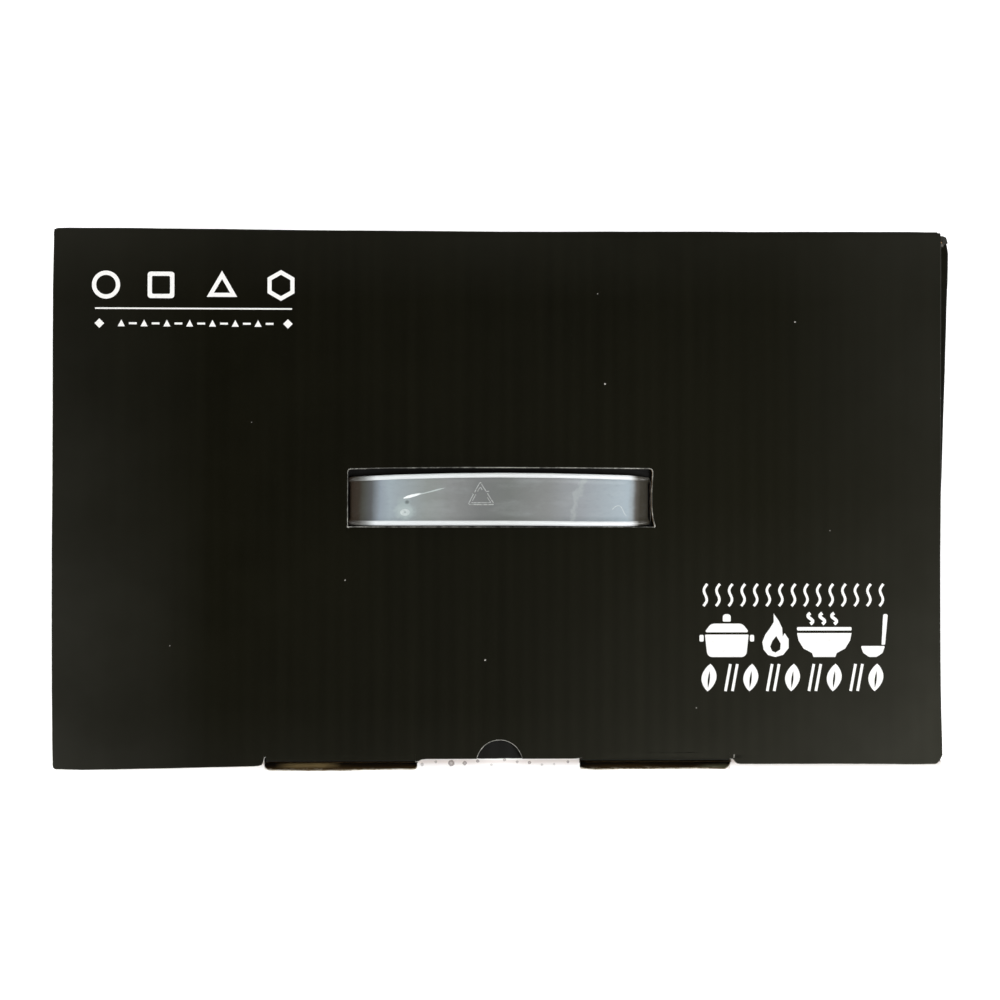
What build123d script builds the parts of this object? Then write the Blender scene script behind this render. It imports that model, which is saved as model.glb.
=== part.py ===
from build123d import *
import os

# Boxed electric hot pot: a carry-handle corrugated carton with the pot packed in moulded pulp.
# Millimetres. +Z up, +X to the right along the long side, +Y to the back (the lid's hinge side).
# Origin: centre of the carton's footprint, at the bottom face.

os.makedirs("parts", exist_ok=True)

# ---------------------------------------------------------------- driving dimensions
BOARD = 3.0          # B-flute corrugated board
HALF_W = 179.2       # half the carton's width, outside
HALF_D = 108.0       # half the carton's depth, outside
H = 196.0            # height of the closed carton, top face of the lid
LAP = 0.4            # air between boards that lie on each other
Z_FLAP = H - BOARD - LAP            # top face of the handle flap (front crease line)
Z_DUST = Z_FLAP - BOARD - LAP       # top face of the dust flaps (side crease lines)

LID_L, LID_R = -178.2, 177.3        # the lid's side edges
WING_L, WING_R = -106.6, -105.6     # front edges of the lid's two wings
RECESS = -103.1                     # front edge of the lid between the tabs
TAB_Y = -104.1                      # outer face of the lock tabs
TAB_LEN = 14.0
TAB1 = (-93.9, -34.4)               # left lock tab, from x to x
TAB2 = (32.1, 91.4)                 # right lock tab
GAP1, GAP2 = 0.7, 1.7               # cuts between the tabs and the lid's two wings
SLOT_Y = -100.3                     # back edge of the lock slots in the handle flap
SLOT_PLAY = 0.7                     # the slots are this much wider than the tabs at each end
WIN = (-61.6, 60.6, -10.5, 12.9)    # handle window in the lid: x from, to, y from, to
NOTCH_X, NOTCH_R, NOTCH_OUT = -1.05, 9.56, 2.0

FLAP_BACK = 30.0                    # free edge of the handle flap
DUST_LEN, DUST_FRONT, DUST_BACK = 75.0, 78.0, 34.0

STRAP_X = -1.0                      # middle of the carry handle
STRAP_HALF = 59.1                   # from the middle to each leg's centre plane
LEG_Y = -0.3                        # centre of the legs, front to back
LIFT = 11.8                         # travel of the carry handle

PX, PZ = -70.0, 10.0                # axis and foot level of the pot
KNOB_X = 118.0                      # from the pot's axis to the control knob's axis
GRIP_END = 230.0                    # from the pot's axis to the end of the grip

POT = Plane(origin=(PX, 0, PZ), x_dir=(1, 0, 0), z_dir=(0, -1, 0))      # section through the pot, local x = radius, y = height
POT_AXIS = Axis((PX, 0, PZ), (0, 0, 1))


def at(height):
    """Horizontal plane at a height above the pot's feet, centred on the pot's axis."""
    return Plane(origin=(PX, 0, PZ + height), x_dir=(1, 0, 0), z_dir=(0, 0, 1))


def save(piece, name):
    piece.part.label = name
    export_step(piece.part, f"parts/{name}.step")


# ================================================================ carton walls
# Panels meet in 45 degree mitres, so that each crease line is the outer corner.

slot_spans = [(TAB1[0] - SLOT_PLAY, TAB1[1] + SLOT_PLAY), (TAB2[0] - SLOT_PLAY, TAB2[1] + SLOT_PLAY)]

with BuildPart() as front_panel:
    with BuildSketch(Plane.YZ) as s:
        with BuildLine():
            Polyline((-HALF_D, 0), (-HALF_D + BOARD, BOARD), (-HALF_D + BOARD, Z_FLAP - BOARD), (-HALF_D, Z_FLAP), close=True)
        make_face()
    extrude(amount=HALF_W, both=True)
    # at the lock slots the crease is cut through and the board keeps its square top
    for x0, x1 in slot_spans:
        with BuildSketch(Plane.YZ.offset(x0)):
            with BuildLine():
                Polyline((-HALF_D, Z_FLAP), (-HALF_D + BOARD, Z_FLAP - BOARD), (-HALF_D + BOARD, Z_FLAP), close=True)
            make_face()
        extrude(amount=x1 - x0)
    with BuildSketch(Plane.XY):
        with BuildLine():
            Polyline((-HALF_W, -HALF_D), (HALF_W, -HALF_D), (HALF_W - BOARD, -HALF_D + BOARD), (-HALF_W + BOARD, -HALF_D + BOARD), close=True)
        make_face()
    extrude(amount=H, mode=Mode.INTERSECT)
save(front_panel, "front_panel")

with BuildPart() as back_panel:
    with BuildSketch(Plane.YZ):
        with BuildLine():
            Polyline((HALF_D, 0), (HALF_D - BOARD, BOARD), (HALF_D - BOARD, H - BOARD), (HALF_D, H), close=True)
        make_face()
    extrude(amount=HALF_W, both=True)
    with BuildSketch(Plane.XY):
        with BuildLine():
            Polyline((-HALF_W, HALF_D), (HALF_W, HALF_D), (HALF_W - BOARD, HALF_D - BOARD), (-HALF_W + BOARD, HALF_D - BOARD), close=True)
        make_face()
    extrude(amount=H, mode=Mode.INTERSECT)
save(back_panel, "back_panel")

Z_SIDE = BOARD + LAP                # bottom crease line of the side panels
with BuildPart() as left_panel:
    with BuildSketch(Plane.XZ):
        with BuildLine():
            Polyline((-HALF_W, Z_SIDE), (-HALF_W + BOARD, Z_SIDE + BOARD), (-HALF_W + BOARD, Z_DUST - BOARD), (-HALF_W, Z_DUST), close=True)
        make_face()
    extrude(amount=HALF_D, both=True)
    with BuildSketch(Plane.XY):
        with BuildLine():
            Polyline((-HALF_W, -HALF_D), (-HALF_W + BOARD, -HALF_D + BOARD), (-HALF_W + BOARD, HALF_D - BOARD), (-HALF_W, HALF_D), close=True)
        make_face()
    extrude(amount=H, mode=Mode.INTERSECT)
save(left_panel, "left_panel")

with BuildPart() as right_panel:
    add(left_panel.part)
    mirror(about=Plane.YZ, mode=Mode.REPLACE)
save(right_panel, "right_panel")

with BuildPart() as glue_flap:
    with BuildSketch(Plane.YZ.offset(-HALF_W + BOARD)):
        with BuildLine():
            Polyline((HALF_D - BOARD, 12), (HALF_D - BOARD, Z_DUST - 12), (70, Z_DUST - 26), (70, 26), close=True)
        make_face()
    extrude(amount=BOARD)
save(glue_flap, "glue_flap")

# ---------------------------------------------------------------- bottom flaps
with BuildPart() as bottom_flap_front:
    with BuildSketch(Plane.YZ):
        with BuildLine():
            Polyline((-HALF_D, 0), (-0.4, 0), (-0.4, BOARD), (-HALF_D + BOARD, BOARD), close=True)
        make_face()
    extrude(amount=HALF_W - 0.5, both=True)
save(bottom_flap_front, "bottom_flap_front")

with BuildPart() as bottom_flap_back:
    with BuildSketch(Plane.YZ):
        with BuildLine():
            Polyline((HALF_D, 0), (0.4, 0), (0.4, BOARD), (HALF_D - BOARD, BOARD), close=True)
        make_face()
    extrude(amount=HALF_W - 0.5, both=True)
save(bottom_flap_back, "bottom_flap_back")

with BuildPart() as bottom_flap_left:
    with BuildSketch(Plane.XZ):
        with BuildLine():
            Polyline((-HALF_W, Z_SIDE), (-HALF_W + 105, Z_SIDE), (-HALF_W + 105, Z_SIDE + BOARD), (-HALF_W + BOARD, Z_SIDE + BOARD), close=True)
        make_face()
    extrude(amount=HALF_D - BOARD - 0.8, both=True)
save(bottom_flap_left, "bottom_flap_left")

with BuildPart() as bottom_flap_right:
    add(bottom_flap_left.part)
    mirror(about=Plane.YZ, mode=Mode.REPLACE)
save(bottom_flap_right, "bottom_flap_right")

# hot-melt beads that hold the outer bottom flaps to the inner ones
with BuildPart() as glue_beads:
    with BuildSketch(Plane.XY.offset(BOARD)):
        with Locations((-125, -60), (-125, 60), (125, -60), (125, 60), (-125, -25), (-125, 25), (125, -25), (125, 25)):
            SlotOverall(70, 7)
    extrude(amount=LAP)
save(glue_beads, "glue_beads")

# ================================================================ top closure
with BuildPart() as lid_panel:
    with BuildSketch(Plane.XY.offset(H - BOARD)):
        with BuildLine():
            FilletPolyline(
                (LID_L, HALF_D), (LID_L, WING_L), (TAB1[0] - GAP1, WING_L), (TAB1[0] - GAP1, RECESS + 1.2), (TAB1[0], RECESS + 1.2),
                (TAB1[0], TAB_Y), (TAB1[1], TAB_Y), (TAB1[1], RECESS), (TAB2[0], RECESS), (TAB2[0], TAB_Y), (TAB2[1], TAB_Y),
                (TAB2[1], RECESS + 1.2), (TAB2[1] + GAP2, RECESS + 1.2), (TAB2[1] + GAP2, WING_R), (LID_R, WING_R), (LID_R, HALF_D),
                radius=[0.8, 1.6, 2.2, 0, 0, 0, 0, 0, 0, 0, 0, 0, 0, 2.2, 3.2, 0.8], close=True)
        make_face()
        # handle window and thumb notch
        with Locations(((WIN[0] + WIN[1]) / 2, (WIN[2] + WIN[3]) / 2)):
            RectangleRounded(WIN[1] - WIN[0], WIN[3] - WIN[2], 1.4, mode=Mode.SUBTRACT)
        with Locations((NOTCH_X, RECESS - NOTCH_OUT)):
            Circle(NOTCH_R, mode=Mode.SUBTRACT)
    extrude(amount=BOARD)
    # mitres at the hinge crease and at the tabs' creases
    with BuildSketch(Plane.YZ.offset(-HALF_W)):
        with BuildLine():
            Polyline((HALF_D, H), (HALF_D - BOARD, H - BOARD), (HALF_D + 1, H - BOARD), (HALF_D + 1, H), close=True)
        make_face()
    extrude(amount=2 * HALF_W, mode=Mode.SUBTRACT)
    for x0, x1 in (TAB1, TAB2):
        with BuildSketch(Plane.YZ.offset(x0)):
            with BuildLine():
                Polyline((TAB_Y, H), (TAB_Y + BOARD, H - BOARD), (TAB_Y - 1, H - BOARD), (TAB_Y - 1, H), close=True)
            make_face()
        extrude(amount=x1 - x0, mode=Mode.SUBTRACT)
save(lid_panel, "lid_panel")

for name, (x0, x1) in (("lock_tab_left", TAB1), ("lock_tab_right", TAB2)):
    with BuildPart() as lock_tab:
        with BuildSketch(Plane.YZ.offset(x0)):
            with BuildLine():
                Polyline((TAB_Y, H), (TAB_Y, H - TAB_LEN + 4), (TAB_Y + 0.8, H - TAB_LEN), (TAB_Y + BOARD, H - TAB_LEN), (TAB_Y + BOARD, H - BOARD), close=True)
            make_face()
        extrude(amount=x1 - x0)
        with BuildSketch(Plane.XZ.offset(-TAB_Y + 1)):
            with BuildLine():
                FilletPolyline((x0, H), (x1, H), (x1, H - 5), (x1 - 3, H - TAB_LEN), (x0 + 3, H - TAB_LEN), (x0, H - 5),
                               radius=[0, 0, 0, 5, 5, 0], close=True)
            make_face()
        extrude(amount=-(BOARD + 2), mode=Mode.INTERSECT)
    save(lock_tab, name)

with BuildPart() as handle_flap:
    with BuildSketch(Plane.YZ):
        with BuildLine():
            Polyline((-HALF_D, Z_FLAP), (FLAP_BACK, Z_FLAP), (FLAP_BACK, Z_FLAP - BOARD), (-HALF_D + BOARD, Z_FLAP - BOARD), close=True)
        make_face()
    extrude(amount=HALF_W - 2.2, both=True)
    with BuildSketch(Plane.XY.offset(Z_FLAP - BOARD - 1)):
        with BuildLine():
            FilletPolyline((-HALF_W, -HALF_D - 1), (HALF_W, -HALF_D - 1), (HALF_W, FLAP_BACK - 14), (HALF_W - 7, FLAP_BACK), (-HALF_W + 7, FLAP_BACK), (-HALF_W, FLAP_BACK - 14),
                           radius=[0, 0, 8, 12, 12, 8], close=True)
        make_face()
        # lock slots across the front crease
        for x0, x1 in slot_spans:
            with Locations(((x0 + x1) / 2, (SLOT_Y - HALF_D - 2) / 2)):
                Rectangle(x1 - x0, SLOT_Y + HALF_D + 2, mode=Mode.SUBTRACT)
        # slits that the handle's legs pass through
        with Locations((STRAP_X - STRAP_HALF, LEG_Y), (STRAP_X + STRAP_HALF, LEG_Y)):
            SlotOverall(18.4, 3.4, rotation=90, mode=Mode.SUBTRACT)
    extrude(amount=BOARD + 2, mode=Mode.INTERSECT)
save(handle_flap, "handle_flap")

with BuildPart() as dust_flap_left:
    with BuildSketch(Plane.XZ):
        with BuildLine():
            Polyline((-HALF_W, Z_DUST), (-HALF_W + DUST_LEN, Z_DUST), (-HALF_W + DUST_LEN, Z_DUST - BOARD), (-HALF_W + BOARD, Z_DUST - BOARD), close=True)
        make_face()
    extrude(amount=HALF_D, both=True)
    with BuildSketch(Plane.XY.offset(Z_DUST - BOARD - 1)):
        with BuildLine():
            FilletPolyline((-HALF_W - 1, -HALF_D + BOARD + 1), (-HALF_W + 4, -HALF_D + BOARD + 3), (-HALF_W + DUST_LEN, -HALF_D + DUST_FRONT),
                           (-HALF_W + DUST_LEN, HALF_D - DUST_BACK), (-HALF_W + 4, HALF_D - BOARD - 3), (-HALF_W - 1, HALF_D - BOARD - 1),
                           radius=[0, 0, 12, 12, 0, 0], close=True)
        make_face()
    extrude(amount=BOARD + 2, mode=Mode.INTERSECT)
save(dust_flap_left, "dust_flap_left")

with BuildPart() as dust_flap_right:
    add(dust_flap_left.part)
    mirror(about=Plane.YZ, mode=Mode.REPLACE)
save(dust_flap_right, "dust_flap_right")

# ================================================================ carry handle
# A moulded strap with a raised bead along each edge, two legs through the flap, and a barbed foot on each leg.
OUT = STRAP_HALF + 1.0              # outer faces of the legs
C = Z_FLAP + 5.3                    # underside of the strap at the middle
FOOT = Z_FLAP - BOARD - LIFT - 0.2  # top face of the barbed feet, with the handle down
STRAP_FRONT = -9.4
BEAD_W, BEAD_H = 2.2, 0.5

with BuildPart() as strap_beads:
    with BuildSketch(Plane.XZ):
        with BuildLine():
            FilletPolyline((-OUT, Z_FLAP - 6), (-OUT, C - 1.6 + BEAD_H), (-22, C + 2.0 + BEAD_H), (22, C + 2.0 + BEAD_H), (OUT, C - 1.6 + BEAD_H), (OUT, Z_FLAP - 6),
                           (OUT - 2.2, Z_FLAP - 6), (OUT - 2.2, C - 3.4 - BEAD_H), (21.8, C - BEAD_H), (-21.8, C - BEAD_H), (-OUT + 2.2, C - 3.4 - BEAD_H), (-OUT + 2.2, Z_FLAP - 6),
                           radius=[0, 6.5, 60, 60, 3.4, 0, 0, 1.4, 58, 58, 4.4, 0], close=True)
        make_face()
    extrude(amount=12, both=True)
    with BuildSketch(Plane.XY.offset(Z_FLAP)):
        with BuildLine():
            Polyline((-OUT, 8.4), (-OUT, -8.4), (-OUT + 5, STRAP_FRONT), (OUT - 5, STRAP_FRONT), (OUT, -8.4), (OUT, 8.2))
            ThreePointArc((OUT, 8.2), (0, 10.8), (-OUT, 8.4))
        make_face()
        with BuildLine():
            Polyline((-OUT - 1, 8.2 - BEAD_W), (-OUT - 1, -8.4 + BEAD_W), (-OUT + 5, STRAP_FRONT + BEAD_W), (OUT - 5, STRAP_FRONT + BEAD_W), (OUT + 1, -8.4 + BEAD_W), (OUT + 1, 8.0 - BEAD_W))
            ThreePointArc((OUT + 1, 8.0 - BEAD_W), (0, 10.8 - BEAD_W), (-OUT - 1, 8.2 - BEAD_W))
        make_face(mode=Mode.SUBTRACT)
    extrude(amount=12, mode=Mode.INTERSECT)

with BuildPart() as carry_handle:
    with BuildSketch(Plane.XZ):
        with BuildLine():
            FilletPolyline((-OUT, FOOT - 2.6), (-OUT, C - 1.6), (-22, C + 2.0), (22, C + 2.0), (OUT, C - 1.6), (OUT, FOOT - 2.6),
                           (OUT - 2, FOOT - 2.6), (OUT - 2, C - 3.4), (21.8, C), (-21.8, C), (-OUT + 2, C - 3.4), (-OUT + 2, FOOT - 2.6),
                           radius=[0, 6.5, 60, 60, 3.4, 0, 0, 1.4, 58, 58, 4.4, 0], close=True)
        make_face()
    extrude(amount=12, both=True)
    # plan outline: straight front edge, bowed back edge
    with BuildSketch(Plane.XY.offset(FOOT - 5)):
        with BuildLine():
            Polyline((-OUT, 8.4), (-OUT, -8.4), (-OUT + 5, STRAP_FRONT), (OUT - 5, STRAP_FRONT), (OUT, -8.4), (OUT, 8.2))
            ThreePointArc((OUT, 8.2), (0, 10.8), (-OUT, 8.4))
        make_face()
    extrude(amount=60, mode=Mode.INTERSECT)
    add(strap_beads.part)
    # the legs are 16 mm wide below the flap's top face
    with BuildSketch(Plane.XY.offset(FOOT - 5)):
        with Locations((-STRAP_HALF, LEG_Y + 13), (STRAP_HALF, LEG_Y + 13), (-STRAP_HALF, LEG_Y - 13), (STRAP_HALF, LEG_Y - 13)):
            Rectangle(8, 10)
    extrude(amount=Z_FLAP + 0.6 - FOOT + 5, mode=Mode.SUBTRACT)
    # barbed feet, pointing outwards, which stop the handle under the flap
    with BuildSketch(Plane.XZ.offset(-LEG_Y)):
        with BuildLine():
            Polyline((-OUT + 2, FOOT), (-OUT + 2, FOOT - 2.6), (-OUT - 4.0, FOOT - 2.6), (-OUT - 5.5, FOOT), close=True)
        make_face()
        mirror(about=Plane.YZ)
    extrude(amount=8.0, both=True)
with BuildPart() as carry_handle_in_place:
    add(carry_handle.part.moved(Location((STRAP_X, 0, 0))))
save(carry_handle_in_place, "carry_handle")

# ================================================================ moulded pulp
WALL = 2.5
TRAY_X, TRAY_Y = 172.0, 103.5
T_LOW, T_TOP = 6.8, 100.0           # lower tray
C_LOW, C_TOP = 100.4, 172.0         # upper tray
WELL_R = 97.0
with BuildPart() as lower_tray:
    with BuildSketch(Plane.XY.offset(T_LOW)):
        RectangleRounded(2 * TRAY_X, 2 * TRAY_Y, 12)
    extrude(amount=T_TOP - T_LOW)
    with BuildSketch(Plane.XY.offset(T_LOW)):
        RectangleRounded(2 * (TRAY_X - WALL), 2 * (TRAY_Y - WALL), 9.5)
    extrude(amount=T_TOP - T_LOW - WALL, mode=Mode.SUBTRACT)
    # walls of the round well and of the grip trough
    with BuildSketch(Plane.XY.offset(T_LOW)):
        with Locations((PX, 0)):
            Circle(WELL_R + WALL + 0.7)         # runs into the end wall
    extrude(amount=T_TOP - T_LOW)
    with BuildSketch(Plane.XY.offset(PZ + 62 - WALL)):
        with Locations(((PX + 80 + PX + GRIP_END + 8) / 2, 0)):
            RectangleRounded(GRIP_END + 8 - 80, 2 * (27 + WALL), 8)
    extrude(amount=T_TOP - PZ - 62 + WALL)
    # the hollows themselves
    with BuildSketch(Plane.XY.offset(PZ - 0.2)):
        with Locations((PX, 0)):
            Circle(WELL_R)
    extrude(amount=120, mode=Mode.SUBTRACT)
    with BuildSketch(Plane.XY.offset(PZ + 62)):
        with Locations(((PX + 80 + PX + GRIP_END + 5.5) / 2, 0)):
            RectangleRounded(GRIP_END + 5.5 - 80, 2 * 27, 6)
    extrude(amount=60, mode=Mode.SUBTRACT)
save(lower_tray, "lower_tray")

with BuildPart() as upper_tray:
    with BuildSketch(Plane.XY.offset(C_LOW)):
        RectangleRounded(2 * TRAY_X, 2 * TRAY_Y, 12)
    extrude(amount=C_TOP - C_LOW)
    with BuildSketch(Plane.XY.offset(C_LOW)):
        RectangleRounded(2 * (TRAY_X - WALL), 2 * (TRAY_Y - WALL), 9.5)
    extrude(amount=C_TOP - C_LOW - WALL, mode=Mode.SUBTRACT)
    with BuildSketch(POT):
        with BuildLine():
            Polyline((80, C_TOP - PZ), (80, 124.6), (88.6, 119.7), (97, 119.7), (97, 122.2), (89.4, 122.2), (82.5, 126.2), (82.5, C_TOP - PZ), close=True)
        make_face()
    revolve(axis=POT_AXIS)
    with BuildSketch(Plane.XY.offset(C_TOP - WALL - 1)):
        with Locations((PX, 0)):
            Circle(80)
    extrude(amount=10, mode=Mode.SUBTRACT)
save(upper_tray, "upper_tray")

# ================================================================ hot pot: base
SCREW_R = 60.0
with BuildPart() as rubber_feet:
    with BuildSketch(at(0)):
        with PolarLocations(52, 4, start_angle=0):
            Circle(7)
    extrude(amount=2.8)
    chamfer(rubber_feet.faces().group_by(Axis.Z)[0].edges(), 0.6)
save(rubber_feet, "rubber_feet")

with BuildPart() as bottom_cover:
    with BuildSketch(at(3)):
        Circle(70.1)
        with PolarLocations(SCREW_R, 4, start_angle=45):
            Circle(1.9, mode=Mode.SUBTRACT)
        with PolarLocations(30, 6, start_angle=0):
            SlotOverall(22, 3, mode=Mode.SUBTRACT)
    extrude(amount=2.4)
save(bottom_cover, "bottom_cover")

with BuildPart() as bottom_screws:
    with BuildSketch(at(0.9)):
        with PolarLocations(SCREW_R, 4, start_angle=45):
            Circle(3.4)
    extrude(amount=2.1)
    with BuildSketch(at(3.0)):
        with PolarLocations(SCREW_R, 4, start_angle=45):
            Circle(1.5)
    extrude(amount=11)
    with BuildSketch(at(0.9)):
        with PolarLocations(SCREW_R, 4, start_angle=45):
            Rectangle(3.6, 0.9, mode=Mode.ADD)
            Rectangle(0.9, 3.6, mode=Mode.ADD)
    extrude(amount=1.0, mode=Mode.SUBTRACT)
save(bottom_screws, "bottom_screws")

with BuildPart() as base_housing:
    with BuildSketch(POT):
        with BuildLine():
            FilletPolyline((70.4, 3), (72.6, 3), (86, 16), (92, 28), (92, 31.8), (89.5, 31.8), (89.5, 28.8), (86.3, 22.5), (14, 22.5), (14, 20), (84.2, 20), (82.6, 16.9), (70.4, 5),
                           radius=[0, 1.0, 14, 8, 0, 0, 3, 0, 0, 0, 0, 5, 0], close=True)
        make_face()
    revolve(axis=POT_AXIS)
    # screw bosses under the deck
    with BuildSketch(at(5.5)):
        with PolarLocations(SCREW_R, 4, start_angle=45):
            Circle(4.2)
    extrude(amount=14.6)
    with BuildSketch(at(5.0)):
        with PolarLocations(SCREW_R, 4, start_angle=45):
            Circle(1.6)
    extrude(amount=11, mode=Mode.SUBTRACT)
    # opening for the appliance inlet
    with BuildSketch(at(5.6)):
        with Locations((0, 76)):
            Rectangle(26.8, 30)
    extrude(amount=13.8, mode=Mode.SUBTRACT)
save(base_housing, "base_housing")

with BuildPart() as power_inlet:
    with BuildSketch(at(5.8)):
        with Locations((0, 75)):
            RectangleRounded(26.4, 24, 2)
    extrude(amount=13.4)
    with BuildSketch(Plane(origin=(PX, 87, PZ + 12.5), x_dir=(1, 0, 0), z_dir=(0, -1, 0))):
        RectangleRounded(21, 8.6, 2.5)
    extrude(amount=15, mode=Mode.SUBTRACT)
    with BuildSketch(Plane(origin=(PX, 87, PZ + 12.5), x_dir=(1, 0, 0), z_dir=(0, -1, 0))):
        with Locations((-5.5, 0), (5.5, 0)):
            Circle(1.65)
    extrude(amount=30, mode=Mode.SUBTRACT)
save(power_inlet, "power_inlet")

with BuildPart() as inlet_pins:
    with BuildSketch(Plane(origin=(PX, 84, PZ + 12.5), x_dir=(1, 0, 0), z_dir=(0, -1, 0))):
        with Locations((-5.5, 0), (5.5, 0)):
            Circle(1.6)
    extrude(amount=26)
    chamfer(inlet_pins.faces().group_by(Axis.Y)[-1].edges(), 0.5)
save(inlet_pins, "inlet_pins")

# ================================================================ hot pot: heater
with BuildPart() as heat_shield:
    with BuildSketch(POT):
        with BuildLine():
            Polyline((20, 22.6), (82.0, 22.6), (84.0, 27), (83.2, 27.2), (81.5, 23.4), (20, 23.4), close=True)
        make_face()
    revolve(axis=POT_AXIS)
save(heat_shield, "heat_shield")

with BuildPart() as plate_spacers:
    with BuildSketch(at(23.5)):
        with PolarLocations(55.5, 3, start_angle=30):
            Circle(3.6)
    extrude(amount=9.4)
save(plate_spacers, "plate_spacers")

with BuildPart() as heating_plate:
    with BuildSketch(at(33)):
        Circle(62)
        Circle(7.0, mode=Mode.SUBTRACT)
    extrude(amount=6.8)
    chamfer(heating_plate.faces().group_by(Axis.Z)[-1].edges().filter_by(lambda e: e.length > 100), 1.2)
save(heating_plate, "heating_plate")

with BuildPart() as heating_element:
    with BuildSketch(Plane(origin=(PX, 0, PZ), x_dir=(1, 0, 0), z_dir=(0, -1, 0))):
        with Locations((44, 29.6)):
            Circle(3.2)
    revolve(axis=POT_AXIS, revolution_arc=310)
    for angle in (5, 305):
        with BuildSketch(at(24.2)):
            with PolarLocations(44, 1, start_angle=angle):
                Circle(2.0)
        extrude(amount=4.0)
save(heating_element, "heating_element")

with BuildPart() as thermostat:
    with BuildSketch(at(26.0)):
        Circle(9)
    extrude(amount=6.8)
    with BuildSketch(at(27.6)):
        RectangleRounded(32, 12, 4)
        Circle(9)
    extrude(amount=1.2)
    with BuildSketch(at(16.0)):
        with Locations((0, -5), (0, 5)):
            Rectangle(6.3, 0.8)
    extrude(amount=10.2)
save(thermostat, "thermostat")

with BuildPart() as thermal_fuse:
    with BuildSketch(Plane(origin=(PX - 8, 24, PZ + 30.6), x_dir=(0, 1, 0), z_dir=(1, 0, 0))):
        Circle(2.0)
    extrude(amount=16)
    with BuildSketch(Plane(origin=(PX - 16, 24, PZ + 30.6), x_dir=(0, 1, 0), z_dir=(1, 0, 0))):
        Circle(0.6)
    extrude(amount=32)
save(thermal_fuse, "thermal_fuse")

# ================================================================ hot pot: body and bowl
with BuildPart() as outer_shell:
    with BuildSketch(POT):
        with BuildLine():
            Polyline((90.3, 32), (91.9, 32), (92.6, 108), (91.0, 108), close=True)
        make_face()
    revolve(axis=POT_AXIS)
    with BuildSketch(Plane(origin=(PX + 80, 0, PZ), x_dir=(0, 1, 0), z_dir=(1, 0, 0))):
        with Locations((0, 74), (0, 87)):
            Circle(2.2)
    extrude(amount=20, mode=Mode.SUBTRACT)
save(outer_shell, "outer_shell")

with BuildPart() as bowl:
    with BuildSketch(POT):
        with BuildLine():
            FilletPolyline((0, 40), (84.5, 40), (86.5, 109.0), (95.5, 109.0), (95.5, 110.8), (84.7, 110.8), (82.8, 41.6), (0, 41.6),
                           radius=[0, 15, 1.2, 0.6, 0.6, 2.4, 13.4, 0], close=True)
        make_face()
    revolve(axis=POT_AXIS)
# one pressing, kept as two pieces that meet face to face: the wall with its rim, and the floor with its round corner
with BuildPart() as inner_pot:
    add(bowl.part)
    split(bisect_by=Plane.XY.offset(PZ + 57), keep=Keep.TOP)
save(inner_pot, "inner_pot")

with BuildPart() as inner_pot_floor:
    add(bowl.part)
    split(bisect_by=Plane.XY.offset(PZ + 57), keep=Keep.BOTTOM)
save(inner_pot_floor, "inner_pot_floor")

# ================================================================ hot pot: grip with control
with BuildPart() as grip_lower:
    with BuildSketch(at(66)):
        with BuildLine():
            FilletPolyline((86, -24), (100, -24), (136, -17.5), (200, -14), (GRIP_END, -14), (GRIP_END, 14), (200, 14), (136, 17.5), (100, 24), (86, 24),
                           radius=[0, 10, 40, 60, 12.5, 12.5, 60, 40, 10, 0], close=True)
        make_face()
    extrude(amount=14)
    fillet(grip_lower.faces().group_by(Axis.Z)[0].edges(), 4.5)
    # against the round body, and the screws into it
    with BuildSketch(at(60)):
        Circle(92.9)
    extrude(amount=40, mode=Mode.SUBTRACT)
    with BuildSketch(Plane(origin=(PX + 80, 0, PZ), x_dir=(0, 1, 0), z_dir=(1, 0, 0))):
        with Locations((0, 74)):
            Circle(2.05)
    extrude(amount=31, mode=Mode.SUBTRACT)
    # wiring channel and the joint screws' counterbores
    with BuildSketch(at(76)):
        with Locations((KNOB_X, 0)):
            Rectangle(24, 10)
    extrude(amount=10, mode=Mode.SUBTRACT)
    with BuildSketch(at(65)):
        with Locations((150, 0), (206, 0)):
            Circle(3.6)
    extrude(amount=6, mode=Mode.SUBTRACT)
    with BuildSketch(at(65)):
        with Locations((150, 0), (206, 0)):
            Circle(1.7)
    extrude(amount=20, mode=Mode.SUBTRACT)
save(grip_lower, "grip_lower")

with BuildPart() as grip_upper:
    with BuildSketch(at(80.1)):
        with BuildLine():
            FilletPolyline((86, -24), (100, -24), (136, -17.5), (200, -14), (GRIP_END, -14), (GRIP_END, 14), (200, 14), (136, 17.5), (100, 24), (86, 24),
                           radius=[0, 10, 40, 60, 12.5, 12.5, 60, 40, 10, 0], close=True)
        make_face()
    extrude(amount=13.9)
    fillet(grip_upper.faces().group_by(Axis.Z)[-1].edges(), 4.5)
    with BuildSketch(at(60)):
        Circle(92.9)
    extrude(amount=60, mode=Mode.SUBTRACT)
    with BuildSketch(Plane(origin=(PX + 80, 0, PZ), x_dir=(0, 1, 0), z_dir=(1, 0, 0))):
        with Locations((0, 87)):
            Circle(2.05)
    extrude(amount=31 - 8, mode=Mode.SUBTRACT)
    # switch pocket, shaft hole, lens hole, blind screw holes
    with BuildSketch(at(79)):
        with Locations((KNOB_X, 0)):
            Rectangle(23, 23)
    extrude(amount=11.4, mode=Mode.SUBTRACT)
    with BuildSketch(at(85)):
        with Locations((KNOB_X, 0)):
            Circle(4.0)
        with Locations((143, 0)):
            Circle(2.6)
    extrude(amount=12, mode=Mode.SUBTRACT)
    with BuildSketch(at(79)):
        with Locations((150, 0), (206, 0)):
            Circle(1.55)
    extrude(amount=10, mode=Mode.SUBTRACT)
save(grip_upper, "grip_upper")

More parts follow.
